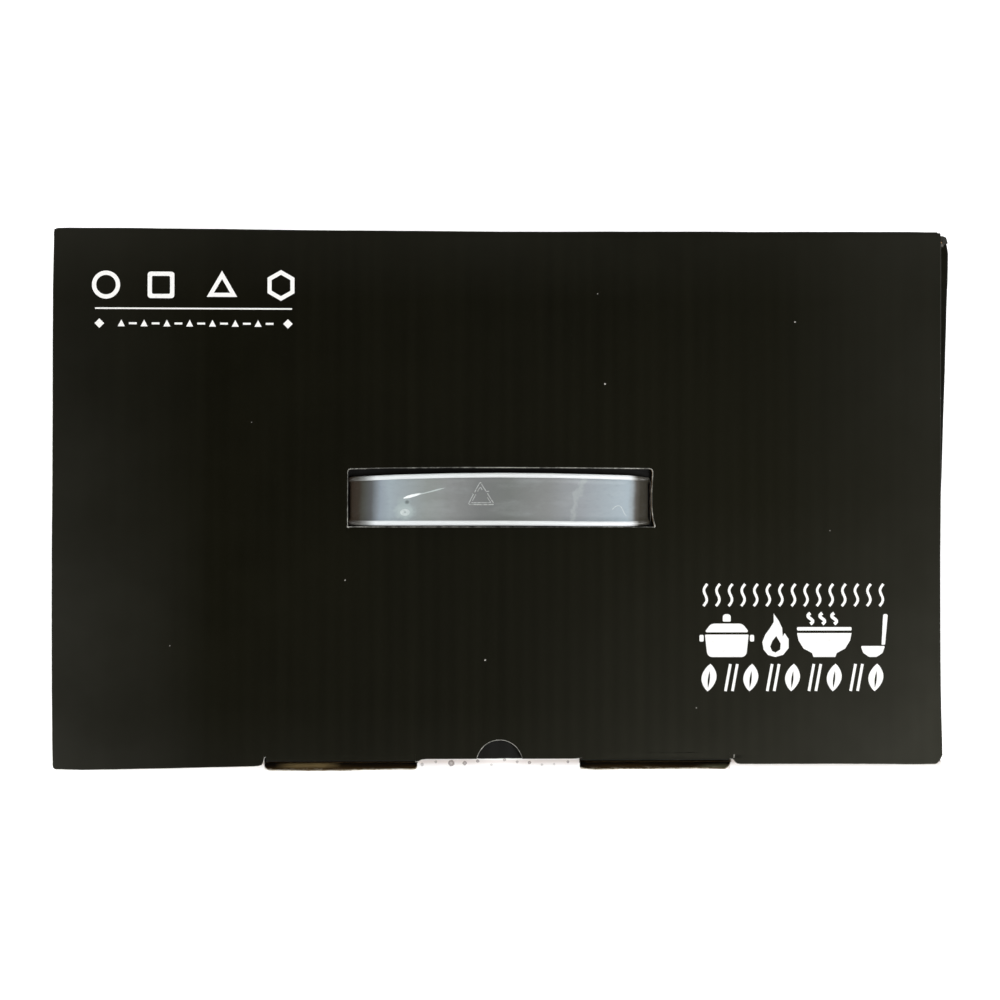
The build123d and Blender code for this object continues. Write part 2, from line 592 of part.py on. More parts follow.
with BuildPart() as grip_screws:
    with BuildSketch(at(68.8)):
        with Locations((150, 0), (206, 0)):
            Circle(3.2)
    extrude(amount=2.1)
    with BuildSketch(at(70.9)):
        with Locations((150, 0), (206, 0)):
            Circle(1.5)
    extrude(amount=16)
    with BuildSketch(at(68.8)):
        with Locations((150, 0), (206, 0)):
            Rectangle(3.4, 0.9)
            Rectangle(0.9, 3.4)
    extrude(amount=1.0, mode=Mode.SUBTRACT)
save(grip_screws, "grip_screws")

with BuildPart() as mounting_screws:
    with BuildSketch(Plane(origin=(PX + 88.6, 0, PZ), x_dir=(0, 1, 0), z_dir=(1, 0, 0))):
        with Locations((0, 74), (0, 87)):
            Circle(3.6)
    extrude(amount=1.9)
    with BuildSketch(Plane(origin=(PX + 90.5, 0, PZ), x_dir=(0, 1, 0), z_dir=(1, 0, 0))):
        with Locations((0, 74), (0, 87)):
            Circle(1.95)
    extrude(amount=12)
save(mounting_screws, "mounting_screws")

with BuildPart() as rotary_switch:
    with BuildSketch(at(80.4)):
        with Locations((KNOB_X, 0)):
            RectangleRounded(22, 22, 2)
    extrude(amount=9.6)
    with BuildSketch(at(84.8)):
        with Locations((KNOB_X, 0)):
            Circle(3.05)
    extrude(amount=10, mode=Mode.SUBTRACT)
save(rotary_switch, "rotary_switch")

with BuildPart() as knob_shaft:
    with BuildSketch(at(85.0)):
        with Locations((KNOB_X, 0)):
            Circle(3.0)
    extrude(amount=19.0)
save(knob_shaft, "knob_shaft")

with BuildPart() as control_knob:
    with BuildSketch(Plane(origin=(PX + KNOB_X, 0, PZ), x_dir=(1, 0, 0), z_dir=(0, -1, 0))):
        with BuildLine():
            FilletPolyline((3.02, 95.0), (16.6, 95.0), (16.6, 98.0), (15.0, 98.8), (14.2, 107.4), (0, 107.4), (0, 104.1), (3.02, 104.1),
                           radius=[0, 0.8, 0.8, 0.8, 2.0, 0, 0, 0], close=True)
        make_face()
    revolve(axis=Axis((PX + KNOB_X, 0, PZ), (0, 0, 1)))
    # pointer ridge
    with BuildSketch(at(105.0)):
        with Locations((KNOB_X + 6.0, 0)):
            SlotOverall(14, 2.4)
    extrude(amount=3.4)
save(control_knob, "control_knob")

with BuildPart() as indicator_lens:
    with BuildSketch(at(86)):
        with Locations((143, 0)):
            Circle(2.5)
    extrude(amount=8.6)
    fillet(indicator_lens.faces().group_by(Axis.Z)[-1].edges(), 1.0)
save(indicator_lens, "indicator_lens")

# ================================================================ hot pot: glass lid
R_OUT, R_IN, ZC = 201.2, 197.2, -63.2           # dome radii and centre height
VENT = Plane(origin=(PX + 55.4, 0, PZ + 129.6), x_dir=(0.9613, 0, -0.2756), z_dir=(0.2756, 0, 0.9613))
with BuildPart() as lid_glass:
    with BuildSketch(POT):
        with BuildLine():
            Line((91.0, 112.3), (91.0, 116.2))
            ThreePointArc((91.0, 116.2), (50.0, ZC + (R_OUT**2 - 50.0**2) ** 0.5), (4.3, ZC + (R_OUT**2 - 4.3**2) ** 0.5))
            Line((4.3, ZC + (R_OUT**2 - 4.3**2) ** 0.5), (4.3, ZC + (R_IN**2 - 4.3**2) ** 0.5))
            ThreePointArc((4.3, ZC + (R_IN**2 - 4.3**2) ** 0.5), (50.0, ZC + (R_IN**2 - 50.0**2) ** 0.5), (87.0, ZC + (R_IN**2 - 87.0**2) ** 0.5))
            Line((87.0, ZC + (R_IN**2 - 87.0**2) ** 0.5), (87.0, 112.3))
            Line((87.0, 112.3), (91.0, 112.3))
        make_face()
    revolve(axis=POT_AXIS)
    with BuildSketch(VENT.offset(-8)):
        Circle(4.5)
    extrude(amount=16, mode=Mode.SUBTRACT)
save(lid_glass, "lid_glass")

with BuildPart() as lid_rim_band:
    with BuildSketch(POT):
        with BuildLine():
            FilletPolyline((86.6, 111.0), (92.4, 111.0), (92.4, 118.4), (90.2, 119.2), (90.0, 118.6), (91.4, 118.0), (91.4, 112.0), (86.6, 112.0),
                           radius=[0, 0.9, 0.8, 0, 0, 0.3, 0, 0], close=True)
        make_face()
    revolve(axis=POT_AXIS)
save(lid_rim_band, "lid_rim_band")

with BuildPart() as steam_vent:
    with BuildSketch(VENT.offset(-4.8)):
        Circle(4.3)
        Circle(2.2, mode=Mode.SUBTRACT)
    extrude(amount=6.9)
    with BuildSketch(VENT.offset(0.9)):
        Circle(7.2)
        Circle(2.2, mode=Mode.SUBTRACT)
    extrude(amount=1.2)
    with BuildSketch(VENT.offset(-4.8)):
        Circle(6.4)
        Circle(2.2, mode=Mode.SUBTRACT)
    extrude(amount=1.0)
save(steam_vent, "steam_vent")

with BuildPart() as knob_collar:
    with BuildSketch(POT):
        with BuildLine():
            Polyline((3.4, 138.1), (13, 138.1), (13.6, 138.7), (12.4, 141.0), (3.4, 141.0), close=True)
        make_face()
    revolve(axis=POT_AXIS)
save(knob_collar, "knob_collar")

with BuildPart() as lid_knob:
    with BuildSketch(POT):
        with BuildLine():
            FilletPolyline((3.1, 141.2), (10.5, 141.2), (9.0, 146.5), (20.0, 151.0), (20.0, 157.5), (0, 159.6), (0, 153.0), (3.1, 153.0),
                           radius=[0, 0.8, 3.5, 2.5, 4.5, 0, 0, 0], close=True)
        make_face()
    revolve(axis=POT_AXIS)
save(lid_knob, "lid_knob")

with BuildPart() as lid_knob_screw:
    with BuildSketch(at(130.8)):
        Circle(7.0)
    extrude(amount=2.4)
    with BuildSketch(at(133.2)):
        Circle(3.0)
    extrude(amount=19)
    with BuildSketch(at(130.8)):
        Rectangle(5, 1.2)
        Rectangle(1.2, 5)
    extrude(amount=1.2, mode=Mode.SUBTRACT)
save(lid_knob_screw, "lid_knob_screw")
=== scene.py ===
import bpy
import bmesh
import math
import random
from mathutils import Euler, Matrix, Vector, noise
from mathutils.geometry import tessellate_polygon


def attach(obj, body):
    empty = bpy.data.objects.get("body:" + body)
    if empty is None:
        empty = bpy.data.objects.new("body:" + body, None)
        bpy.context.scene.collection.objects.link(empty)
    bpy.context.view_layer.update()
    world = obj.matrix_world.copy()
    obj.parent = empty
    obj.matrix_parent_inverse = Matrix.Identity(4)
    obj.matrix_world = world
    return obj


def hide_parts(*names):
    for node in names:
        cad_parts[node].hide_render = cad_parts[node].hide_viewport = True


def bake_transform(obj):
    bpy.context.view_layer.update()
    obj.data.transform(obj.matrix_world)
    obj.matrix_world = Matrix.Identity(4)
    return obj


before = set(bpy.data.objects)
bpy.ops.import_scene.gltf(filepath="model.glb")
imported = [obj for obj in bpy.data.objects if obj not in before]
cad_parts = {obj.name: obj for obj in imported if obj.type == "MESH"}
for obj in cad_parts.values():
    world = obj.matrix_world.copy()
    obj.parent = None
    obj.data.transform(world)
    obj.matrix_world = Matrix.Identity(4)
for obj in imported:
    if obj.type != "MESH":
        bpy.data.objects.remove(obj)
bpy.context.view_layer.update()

MM = 0.001
random.seed(11)
scene = bpy.context.scene

# ---------------------------------------------------------------- dimensions of the carton, in mm
B = 3.0
HALF_W, HALF_D, H = 179.2, 108.0, 196.0
WI = HALF_W - B              # inner face of the side walls
Z_FLAP, Z_DUST, Z_SIDE = 192.6, 189.2, 3.4
LID_L, LID_R = -178.2, 177.3
WING_L, WING_R, RECESS = -106.6, -105.6, -102.82
TAB_Y = -104.1
TAB1, TAB2 = (-93.9, -34.4), (32.1, 91.4)
GAP1, GAP2 = 0.7, 1.7
SLOT_Y = -100.3
SLOT1, SLOT2 = (-94.6, -33.7), (31.4, 92.1)
WIN = (-61.6, 60.6, -10.5, 12.9)
STRAP_X, STRAP_HALF, LEG_Y = -1.0, 59.1, -0.3
LINER = 0.42
X, Y, Z = Vector((1, 0, 0)), Vector((0, 1, 0)), Vector((0, 0, 1))

# light spots in the print of the lid: x, y, radius in mm, brightness
SPECKS = [(41.4, 46.8, 0.42, 1.0), (118.1, 72.0, 0.32, 0.9), (-6.7, -63.8, 0.36, 0.9), (-62.6, -31.9, 0.28, 0.6), (38.4, 83.0, 0.26, 0.5),
          (-100.0, 31.0, 0.24, 0.4), (132.0, -12.0, 0.26, 0.45), (-132.0, -58.0, 0.26, 0.4), (78.0, -83.0, 0.3, 0.5), (-61.5, -10.65, 0.5, 1.0)]


def smooth(a, b, x):
    t = min(1.0, max(0.0, (x - a) / (b - a)))
    return t * t * (3 - 2 * t)


def wobble(x, y=0.0, z=0.0):
    return noise.noise(Vector((x, y, z)))


LEAN = [(-108, 0.8), (-60, 0.85), (-20, 0.8), (-4, 0.5), (7, 0.1), (12, -0.15), (28, -0.65), (44, -1.2), (60, -1.75), (76, -2.25), (92, -2.95), (101, -3.05), (102.8, -3.05), (104.4, -2.75), (105.4, -2.4), (106.8, -2.1), (108, -1.9)]


def table(points, v):
    if v <= points[0][0]:
        return points[0][1]
    for (a, fa), (b, fb) in zip(points, points[1:]):
        if v <= b:
            return fa + (fb - fa) * (v - a) / (b - a)
    return points[-1][1]


def lean(y, z):
    """How far the right side is pushed inwards near its top, in mm: it bulges out in the back half and leans in towards the front."""
    return table(LEAN, y) * smooth(60, 184, z)


# ================================================================ materials
def lin(r, g, b, a=1.0):
    def f(c):
        c /= 255.0
        return c / 12.92 if c <= 0.04045 else ((c + 0.055) / 1.055) ** 2.4
    return (f(r), f(g), f(b), a)


class Mat:
    def __init__(self, name, **shader):
        self.m = bpy.data.materials.new(name)
        self.m.use_nodes = True
        self.t = self.m.node_tree
        self.s = self.t.nodes["Principled BSDF"]
        self.co = self.t.nodes.new("ShaderNodeTexCoord").outputs["Object"]
        for k, v in shader.items():
            self.s.inputs[k.replace("_", " ")].default_value = v

    def node(self, kind, ins=None, **props):
        n = self.t.nodes.new("ShaderNode" + kind)
        for k, v in props.items():
            setattr(n, k, v)
        for k, v in (ins or {}).items():
            if isinstance(v, bpy.types.NodeSocket):
                self.t.links.new(v, n.inputs[k])
            else:
                n.inputs[k].default_value = v
        return n

    def scaled(self, sx, sy, sz, rot=(0, 0, 0)):
        return self.node("Mapping", {"Vector": self.co, "Scale": (sx, sy, sz), "Rotation": rot}).outputs[0]

    def noise(self, scale, detail=3.0, rough=0.55, vec=None, dist=0.0):
        return self.node("TexNoise", {"Vector": vec or self.co, "Scale": scale, "Detail": detail, "Roughness": rough, "Distortion": dist}).outputs["Fac"]

    def ramp(self, fac, stops, interp="LINEAR"):
        n = self.node("ValToRGB", {"Fac": fac})
        n.color_ramp.interpolation = interp
        while len(n.color_ramp.elements) < len(stops):
            n.color_ramp.elements.new(0.5)
        for e, (p, c) in zip(n.color_ramp.elements, stops):
            e.position = p
            e.color = c if hasattr(c, "__len__") else (c, c, c, 1)
        return n.outputs["Color"]

    def mix(self, fac, a, b, blend="MIX"):
        n = self.node("Mix", data_type="RGBA", blend_type=blend)
        for k, v in ((0, fac), (6, a), (7, b)):
            if isinstance(v, bpy.types.NodeSocket):
                self.t.links.new(v, n.inputs[k])
            else:
                n.inputs[k].default_value = v
        return n.outputs[2]

    def math(self, op, a, b=None, clamp=False):
        n = self.node("Math", operation=op, use_clamp=clamp)
        for k, v in ((0, a), (1, b)):
            if v is None:
                continue
            if isinstance(v, bpy.types.NodeSocket):
                self.t.links.new(v, n.inputs[k])
            else:
                n.inputs[k].default_value = v
        return n.outputs[0]

    def range(self, v, a, b, c, d):
        n = self.node("MapRange", {"Value": v, "From Min": a, "From Max": b, "To Min": c, "To Max": d})
        return n.outputs[0]

    def axis(self, k):
        return self.node("SeparateXYZ", {0: self.co}).outputs[k]

    def bump(self, height, strength, distance, normal=None):
        ins = {"Height": height, "Strength": strength, "Distance": distance}
        if normal:
            ins["Normal"] = normal
        return self.node("Bump", ins).outputs[0]

    def color(self, v):
        self.t.links.new(v, self.s.inputs["Base Color"])

    def rough(self, v):
        self.t.links.new(v, self.s.inputs["Roughness"])

    def normal(self, v):
        self.t.links.new(v, self.s.inputs["Normal"])


def black_ink(m, across):
    """Warm black print with broad mottling, faint stripes over the flutes and fine pale flecks."""
    stretch = {"x": (150, 5, 5), "y": (5, 150, 5), "z": (5, 5, 150)}[across]
    broad = m.noise(7.0, 4.0, 0.6)
    tint = m.ramp(broad, [(0.32, (0.0018, 0.0016, 0.0006, 1)), (0.55, (0.0024, 0.0021, 0.0006, 1)), (0.74, (0.0034, 0.0031, 0.0010, 1))])
    lines = m.noise(1.0, 3.0, 0.6, m.scaled(*stretch))
    tint = m.mix(m.range(lines, 0.45, 0.75, 0.0, 0.5), tint, (0.0040, 0.0037, 0.0017, 1))
    grain = m.noise(900.0, 2.0, 0.6)
    return m.mix(m.range(grain, 0.55, 0.8, 0.0, 0.16), tint, (0.0090, 0.0084, 0.0066, 1))


def board_relief(m, across, extra=None):
    """Washboard of the flutes under the liner, and the paper's own grain."""
    k = {"x": 0, "y": 1, "z": 2}[across]
    wave = m.math("SINE", m.math("MULTIPLY", m.axis(k), 2 * math.pi / 0.0065))
    n = m.bump(wave, 0.35, 0.00004)
    n = m.bump(m.noise(70.0, 3.0, 0.55), 0.25, 0.00016, n)
    n = m.bump(m.noise(1500.0, 2.0, 0.5), 0.18, 0.00003, n)
    return m.bump(extra, 0.6, 0.0001, n) if extra else n


def make_black(name, across, spots_and_highlights=(), painted_edge_shading=False):
    m = Mat(name, Roughness=0.47, IOR=1.46)
    m.s.inputs["Specular IOR Level"].default_value = 0.04
    m.s.inputs["Specular Tint"].default_value = (1.0, 0.98, 0.7, 1)
    ink = black_ink(m, across)
    if painted_edge_shading:
        # painted sheen: the print is painted a little paler towards the edges, most of all at the front right
        painted_sheen = m.range(m.axis(0), 0.11, 0.178, 0.0, 0.34)
        for (xa, xb, va, vb), (ya, yb, wa, wb) in (((0.0, 0.17, 0.04, 0.66), (0.0, -0.106, 0.0, 1.0)), ((-0.115, -0.179, 0.0, 0.85), (0.09, -0.06, 0.2, 0.85)), ((-1, 1, 0.14, 0.14), (-0.082, -0.106, 0.0, 1.0))):
            painted_sheen = m.math("ADD", painted_sheen, m.math("MULTIPLY", m.range(m.axis(0), xa, xb, va, vb), m.range(m.axis(1), ya, yb, wa, wb)))
        painted_sheen = m.math("ADD", painted_sheen, m.range(m.axis(1), 0.08, 0.108, 0.0, 0.2))
        painted_sheen = m.math("MULTIPLY", painted_sheen, m.range(m.noise(16.0, 4.0, 0.6), 0.3, 0.7, 0.7, 1.25), True)
        ink = m.mix(painted_sheen, ink, (0.0225, 0.0222, 0.0182, 1))
    # light spots: flecks in the lid's print, and painted highlights on the right side's back corner
    for x, y, r, v in spots_and_highlights:
        d = m.node("VectorMath", {0: m.node("VectorMath", {0: m.co, 1: (x * MM, y * MM, 0)}, operation="SUBTRACT").outputs[0], 1: (1, 1, 0)}, operation="MULTIPLY").outputs[0]
        length = m.node("VectorMath", {0: d}, operation="LENGTH").outputs["Value"]
        near = m.math("ADD", length, m.range(m.noise(2600.0, 1.0), 0.3, 0.7, -0.00012, 0.00012))
        ink = m.mix(m.range(near, r * MM * 0.55, r * MM, v, 0.0), ink, (0.52, 0.5, 0.46, 1))
    m.color(ink)
    m.rough(m.range(m.noise(28.0, 4.0, 0.6), 0.3, 0.7, 0.42, 0.52))
    m.normal(board_relief(m, across))
    return m.m


def light_print(m):
    """Pale print with soft grey spots in a loose grid."""
    spots = m.node("TexVoronoi", {"Vector": m.scaled(1, 1, 1, (0, 0, 0.0)), "Scale": 190.0, "Randomness": 0.42}, feature="F1")
    pick = m.node("SeparateColor", {0: spots.outputs["Color"]}).outputs[0]
    size = m.range(pick, 0.0, 1.0, 0.05, 0.2)
    d = m.math("SUBTRACT", spots.outputs["Distance"], size)
    d = m.math("ADD", d, m.range(m.noise(1300.0, 2.0), 0.2, 0.8, -0.04, 0.04))
    spot = m.range(d, 0.0, 0.035, 1.0, 0.0)
    core = m.range(d, -0.1, 0.0, 0.55, 1.0)
    paper = m.ramp(m.noise(160.0, 3.0), [(0.3, lin(236, 231, 226)), (0.7, lin(244, 241, 238))])
    # painted shade: the pale print is painted darker on the front wall below 186 mm than at its top edge
    paper = m.mix(m.range(m.axis(2), 0.1860, 0.1895, 1.0, 0.0), paper, m.ramp(m.noise(160.0, 3.0), [(0.3, lin(190, 185, 180)), (0.7, lin(200, 196, 192))]))
    return m.mix(m.math("MULTIPLY", spot, m.math("MULTIPLY", core, 0.62)), paper, lin(128, 118, 114))


def make_light(name, across):
    m = Mat(name, Roughness=0.45)
    m.s.inputs["Specular IOR Level"].default_value = 0.4
    m.color(light_print(m))
    m.rough(m.range(m.noise(30.0, 4.0, 0.6), 0.3, 0.7, 0.4, 0.52))
    m.normal(board_relief(m, across))
    return m.m


# soft dots in the pale border of the flap: x, y, radius, strength in mm
DOTS = [(-20.1, -105.05, 1.4, 0.8), (-14.7, -105.1, 0.95, 0.75), (-9.5, -104.3, 0.72, 0.7), (-4.0, -105.75, 0.55, 0.4), (1.2, -103.8, 0.72, 0.6), (6.3, -104.65, 0.6, 0.6),
        (11.2, -104.95, 0.75, 0.75), (16.2, -105.75, 0.55, 0.45), (21.1, -105.6, 0.5, 0.35), (26.6, -104.65, 0.62, 0.7), (-26.3, -104.5, 0.6, 0.5), (-31.8, -105.6, 0.75, 0.5)]


def make_flap_print(name):
    """Top of the handle flap: the front print wraps over the crease as a pale border, the rest is black."""
    m = Mat(name, Roughness=0.48)
    m.s.inputs["Specular IOR Level"].default_value = 0.06
    y = m.math("ADD", m.axis(1), m.range(m.noise(240.0, 2.0), 0.3, 0.7, -0.0001, 0.0001))
    border = m.range(y, -0.1034, -0.1032, 1.0, 0.0)
    # painted shade and highlight: the pale border is painted darker in a band across its middle, as shade from the lid
    # above, and near white towards the crease, where the fold catches the light; it is white again along the lid's edge
    pale = m.ramp(m.range(y, -0.1062, -0.1033, 0.0, 1.0), [(0.0, lin(252, 251, 250)), (0.3, lin(247, 243, 241)), (0.55, lin(234, 227, 224)), (0.78, lin(236, 230, 227)), (0.92, lin(252, 251, 250)), (1.0, lin(254, 254, 253))])
    soft = m.range(m.noise(1500.0, 2.0), 0.2, 0.8, -0.00022, 0.00022)
    for dx, dy, r, v in DOTS:
        d = m.node("VectorMath", {0: m.node("VectorMath", {0: m.co, 1: (dx * MM, dy * MM, 0)}, operation="SUBTRACT").outputs[0], 1: (1, 1, 0)}, operation="MULTIPLY").outputs[0]
        near = m.math("ADD", m.node("VectorMath", {0: d}, operation="LENGTH").outputs["Value"], soft)
        ring = m.math("MULTIPLY", m.range(near, r * MM * 0.75, r * MM, v, 0.0), m.range(near, 0.0, r * MM * 0.6, 0.55, 1.0))
        pale = m.mix(ring, pale, lin(120, 110, 106))
    m.color(m.mix(border, black_ink(m, "x"), pale))
    m.rough(m.range(m.noise(30.0, 4.0, 0.6), 0.3, 0.7, 0.42, 0.54))
    m.normal(board_relief(m, "x"))
    return m.m


def make_core(name, base=(142, 141, 134), dark=(84, 83, 78), share=0.5, shade_right_edge=True):
    """Cut edge of the outer liner: pale fibre, here and there still covered with ink."""
    m = Mat(name, Roughness=0.85)
    m.s.inputs["Specular IOR Level"].default_value = 0.2
    a = m.noise(420.0, 4.0, 0.65)
    b = m.noise(40.0, 3.0, 0.6)
    f = m.math("ADD", m.range(a, 0.3, 0.7, 0.0, 0.6), m.range(b, 0.3, 0.7, 0.0, 0.6))
    c = m.ramp(f, [(0.35 - 0.2 * (share - 0.5), lin(*dark)), (0.62, lin(*base)), (0.95, lin(196, 194, 186))])
    if shade_right_edge:
        # painted shade: the lid's right edge, and any cut edge as far to the right, is painted dark, with a few bright
        # spots
        spots = m.range(m.noise(1.0, 2.0, 0.6, m.scaled(300, 420, 300)), 0.64, 0.74, 0.0, 1.0)
        side = m.range(m.axis(0), 0.1755, 0.1763, 0.0, 1.0)
        painted_edge_shading = m.mix(spots, lin(46, 46, 41), lin(150, 150, 144))
        c = m.mix(side, c, painted_edge_shading)
    m.color(c)
    m.normal(m.bump(m.noise(2200.0, 2.0), 0.5, 0.0001))
    return m.m


def make_kraft(name, light=(176, 142, 101), dark=(143, 110, 74), across="x"):
    m = Mat(name, Roughness=0.82)
    m.s.inputs["Specular IOR Level"].default_value = 0.22
    fibres = m.noise(1.0, 4.0, 0.62, m.scaled(260, 700, 420, (0.2, 0.1, 0.5)))
    broad = m.noise(14.0, 4.0, 0.6)
    c = m.ramp(fibres, [(0.3, lin(*dark)), (0.7, lin(*light))])
    c = m.mix(m.range(broad, 0.3, 0.7, 0.0, 0.35), c, lin(158, 122, 82))
    flecks = m.noise(1.0, 2.0, 0.5, m.scaled(420, 1500, 900, (0.4, 0.3, 1.1)))
    c = m.mix(m.range(flecks, 0.66, 0.76, 0.0, 0.6), c, lin(96, 68, 42))
    m.color(c)
    k = {"x": 0, "y": 1, "z": 2}[across]
    wave = m.math("SINE", m.math("MULTIPLY", m.axis(k), 2 * math.pi / 0.0065))
    n = m.bump(wave, 0.5, 0.00006)
    m.normal(m.bump(fibres, 0.35, 0.00012, n))
    return m.m


def make_medium(name):
    m = Mat(name, Roughness=0.88)
    m.s.inputs["Specular IOR Level"].default_value = 0.18
    f = m.noise(1.0, 4.0, 0.62, m.scaled(500, 160, 500))
    m.color(m.ramp(f, [(0.28, lin(96, 74, 48)), (0.72, lin(140, 112, 76))]))
    m.normal(m.bump(f, 0.45, 0.00012))
    return m.m


def make_crush(name):
    """Flutes and inner liner crushed along the lock slots: pale at the outer edge, dark going down into the slot,
    painted darker still there as shade.
    """
    m = Mat(name, Roughness=0.9)
    m.s.inputs["Specular IOR Level"].default_value = 0.04
    y = m.math("ADD", m.axis(1), m.range(m.noise(1.0, 3.0, 0.6, m.scaled(60, 500, 500)), 0.3, 0.7, -0.0004, 0.0004))
    t = m.range(y, -0.1076, -0.1048, 0.0, 1.0)
    # painted shade: the colour runs from pale brown at the outer edge to near black where the edge goes down into the
    # slot
    c = m.ramp(t, [(0.0, lin(86, 68, 42)), (0.2, lin(62, 46, 22)), (0.45, lin(42, 30, 12)), (0.7, lin(20, 13, 5)), (1.0, lin(5, 3, 1))])
    streak = m.noise(1.0, 4.0, 0.65, m.scaled(110, 1700, 1700))
    c = m.mix(m.range(streak, 0.45, 0.7, 0.0, 0.6), c, lin(30, 20, 8))
    # painted highlight: a lighter tan band in the left slot
    band = m.math("MULTIPLY", m.range(m.axis(0), -0.0905, -0.082, 0.0, 1.0), m.range(m.axis(0), -0.071, -0.064, 1.0, 0.0))
    tan_highlight = m.math("MULTIPLY", band, m.math("MULTIPLY", m.range(t, 0.12, 0.5, 0.0, 1.0), m.range(t, 0.82, 0.98, 1.0, 0.0)))
    c = m.mix(m.math("MULTIPLY", tan_highlight, m.range(streak, 0.3, 0.6, 0.95, 0.55)), c, lin(156, 134, 90))
    # painted highlight: an olive band towards the right end of the right slot
    olive_highlight = m.math("MULTIPLY", m.range(m.axis(0), 0.078, 0.083, 0.0, 1.0), m.range(t, 0.1, 0.75, 1.0, 0.0))
    c = m.mix(m.math("MULTIPLY", olive_highlight, 0.75), c, lin(108, 108, 84))
    black = m.range(m.axis(0), 0.0325, 0.0385, 0.75, 0.0)
    left = m.range(m.axis(0), 0.030, 0.0315, 0.0, 1.0)
    c = m.mix(m.math("MULTIPLY", black, left), c, lin(8, 6, 4))
    dust = m.math("MULTIPLY", m.range(m.noise(1.0, 3.0, 0.7, m.scaled(420, 900, 900)), 0.5, 0.66, 0.0, 0.8), m.range(t, 0.02, 0.3, 1.0, 0.0))
    m.color(m.mix(dust, c, lin(168, 160, 142)))
    m.normal(m.bump(streak, 0.6, 0.0002))
    return m.m


BLACK_LID = make_black("print_black_lid", "x", SPECKS, True)
BLACK_X = make_black("print_black_x", "x")
BLACK_Y = make_black("print_black_y", "y")
# the side creases' black carries painted highlights, light spots at the right side's back corner
BLACK_SIDE = make_black("print_black_side", "y", [(181.5, 106.6, 1.3, 0.5), (181.9, 105.2, 0.9, 0.4), (179.4, 104.3, 0.9, 0.25), (180.4, 105.2, 0.6, 0.2)])
LIGHT_X = make_light("print_light", "x")
FLAP_TOP = make_flap_print("print_flap")
CORE = make_core("paper_core")
CORE_PALE = make_core("paper_core_pale", (226, 221, 212), (150, 143, 132), 0.7, False)
KRAFT_X = make_kraft("kraft_x", across="x")
KRAFT_Y = make_kraft("kraft_y", across="y")
MEDIUM = make_medium("fluted_medium")
CRUSH = make_crush("crushed_edge")
CRUSH_TIP = make_core("crushed_tip", (176, 166, 146), (104, 90, 66), 0.45, False)


# ================================================================ board builder
def fillet(points, radii, seg=5):
    out = []
    n = len(points)
    for i, (p, r) in enumerate(zip(points, radii)):
        if r <= 0:
            out.append((p[0], p[1]))
            continue
        a, b, c = Vector(points[i - 1]), Vector(p), Vector(points[(i + 1) % n])
        d1, d2 = (a - b).normalized(), (c - b).normalized()
        ang = d1.angle(d2)
        t = r / math.tan(ang / 2)
        centre = b + (d1 + d2).normalized() * (r / math.sin(ang / 2))
        s, e = b + d1 * t, b + d2 * t
        a0 = math.atan2(s.y - centre.y, s.x - centre.x)
        a1 = math.atan2(e.y - centre.y, e.x - centre.x)
        d = (a1 - a0 + math.pi) % (2 * math.pi) - math.pi
        for k in range(seg + 1):
            out.append((centre.x + r * math.cos(a0 + d * k / seg), centre.y + r * math.sin(a0 + d * k / seg)))
    return out


def arc(cx, cy, r, a0, a1, seg):
    return [(cx + r * math.cos(math.radians(a0 + (a1 - a0) * k / seg)), cy + r * math.sin(math.radians(a0 + (a1 - a0) * k / seg))) for k in range(seg + 1)]


def area2(loop):
    return sum(loop[i - 1][0] * p[1] - p[0] * loop[i - 1][1] for i, p in enumerate(loop))


def ccw(loop):
    return list(loop) if area2(loop) > 0 else list(reversed(loop))


def cw(loop):
    return list(loop) if area2(loop) < 0 else list(reversed(loop))


def inset(loop, dist):
    """Moves each edge to its left by dist(middle of the edge)."""
    n = len(loop)
    pts = [Vector(p) for p in loop]
    edges = []
    for i in range(n):
        a, b = pts[i], pts[(i + 1) % n]
        d = (b - a).normalized()
        k = dist((a + b) / 2)
        edges.append((a + Vector((-d.y, d.x)) * k, d, k, Vector((-d.y, d.x))))
    out = []
    for i in range(n):
        p0, d0, k0, n0 = edges[i - 1]
        p1, d1, k1, n1 = edges[i]
        cr = d0.x * d1.y - d0.y * d1.x
        if abs(cr) < 0.02:
            q = pts[i] + (n0 + n1).normalized() * (k0 + k1) / 2
        else:
            w = p1 - p0
            q = p0 + d0 * ((w.x * d1.y - w.y * d1.x) / cr)
        out.append((q.x, q.y))
    return out


def cap(bm, rings, flats, mat, up):
    tris = tessellate_polygon([[Vector((p[0], p[1], 0)) for p in loop] for loop in flats])
    vs = [v for ring in rings for v in ring]
    fl = [p for loop in flats for p in loop]
    for a, b, c in tris:
        s = (fl[b][0] - fl[a][0]) * (fl[c][1] - fl[a][1]) - (fl[c][0] - fl[a][0]) * (fl[b][1] - fl[a][1])
        order = (a, b, c) if (s > 0) == up else (a, c, b)
        try:
            bm.faces.new([vs[k] for k in order]).material_index = mat
        except ValueError:
            pass


def walls(bm, upper, lower, mat):
    for ru, rl in zip(upper, lower):
        n = len(ru)
        for i in range(n):
            j = (i + 1) % n
            try:
                bm.faces.new((rl[i], rl[j], ru[j], ru[i])).material_index = mat
            except ValueError:
                pass


def slab(bm, P, loops, top, bot, m_top, m_side, m_bot, cham=None, drop=0.2):
    flat_top = [inset(l, cham) for l in loops] if cham else loops
    r_top = [[bm.verts.new(P(u, v, top)) for u, v in l] for l in flat_top]
    r_bot = [[bm.verts.new(P(u, v, bot)) for u, v in l] for l in loops]
    cap(bm, r_top, flat_top, m_top, True)
    cap(bm, r_bot, loops, m_bot, False)
    if cham:
        r_mid = [[bm.verts.new(P(u, v, top - drop)) for u, v in l] for l in loops]
        walls(bm, r_top, r_mid, m_side)
        walls(bm, r_mid, r_bot, m_side)
    else:
        walls(bm, r_top, r_bot, m_side)


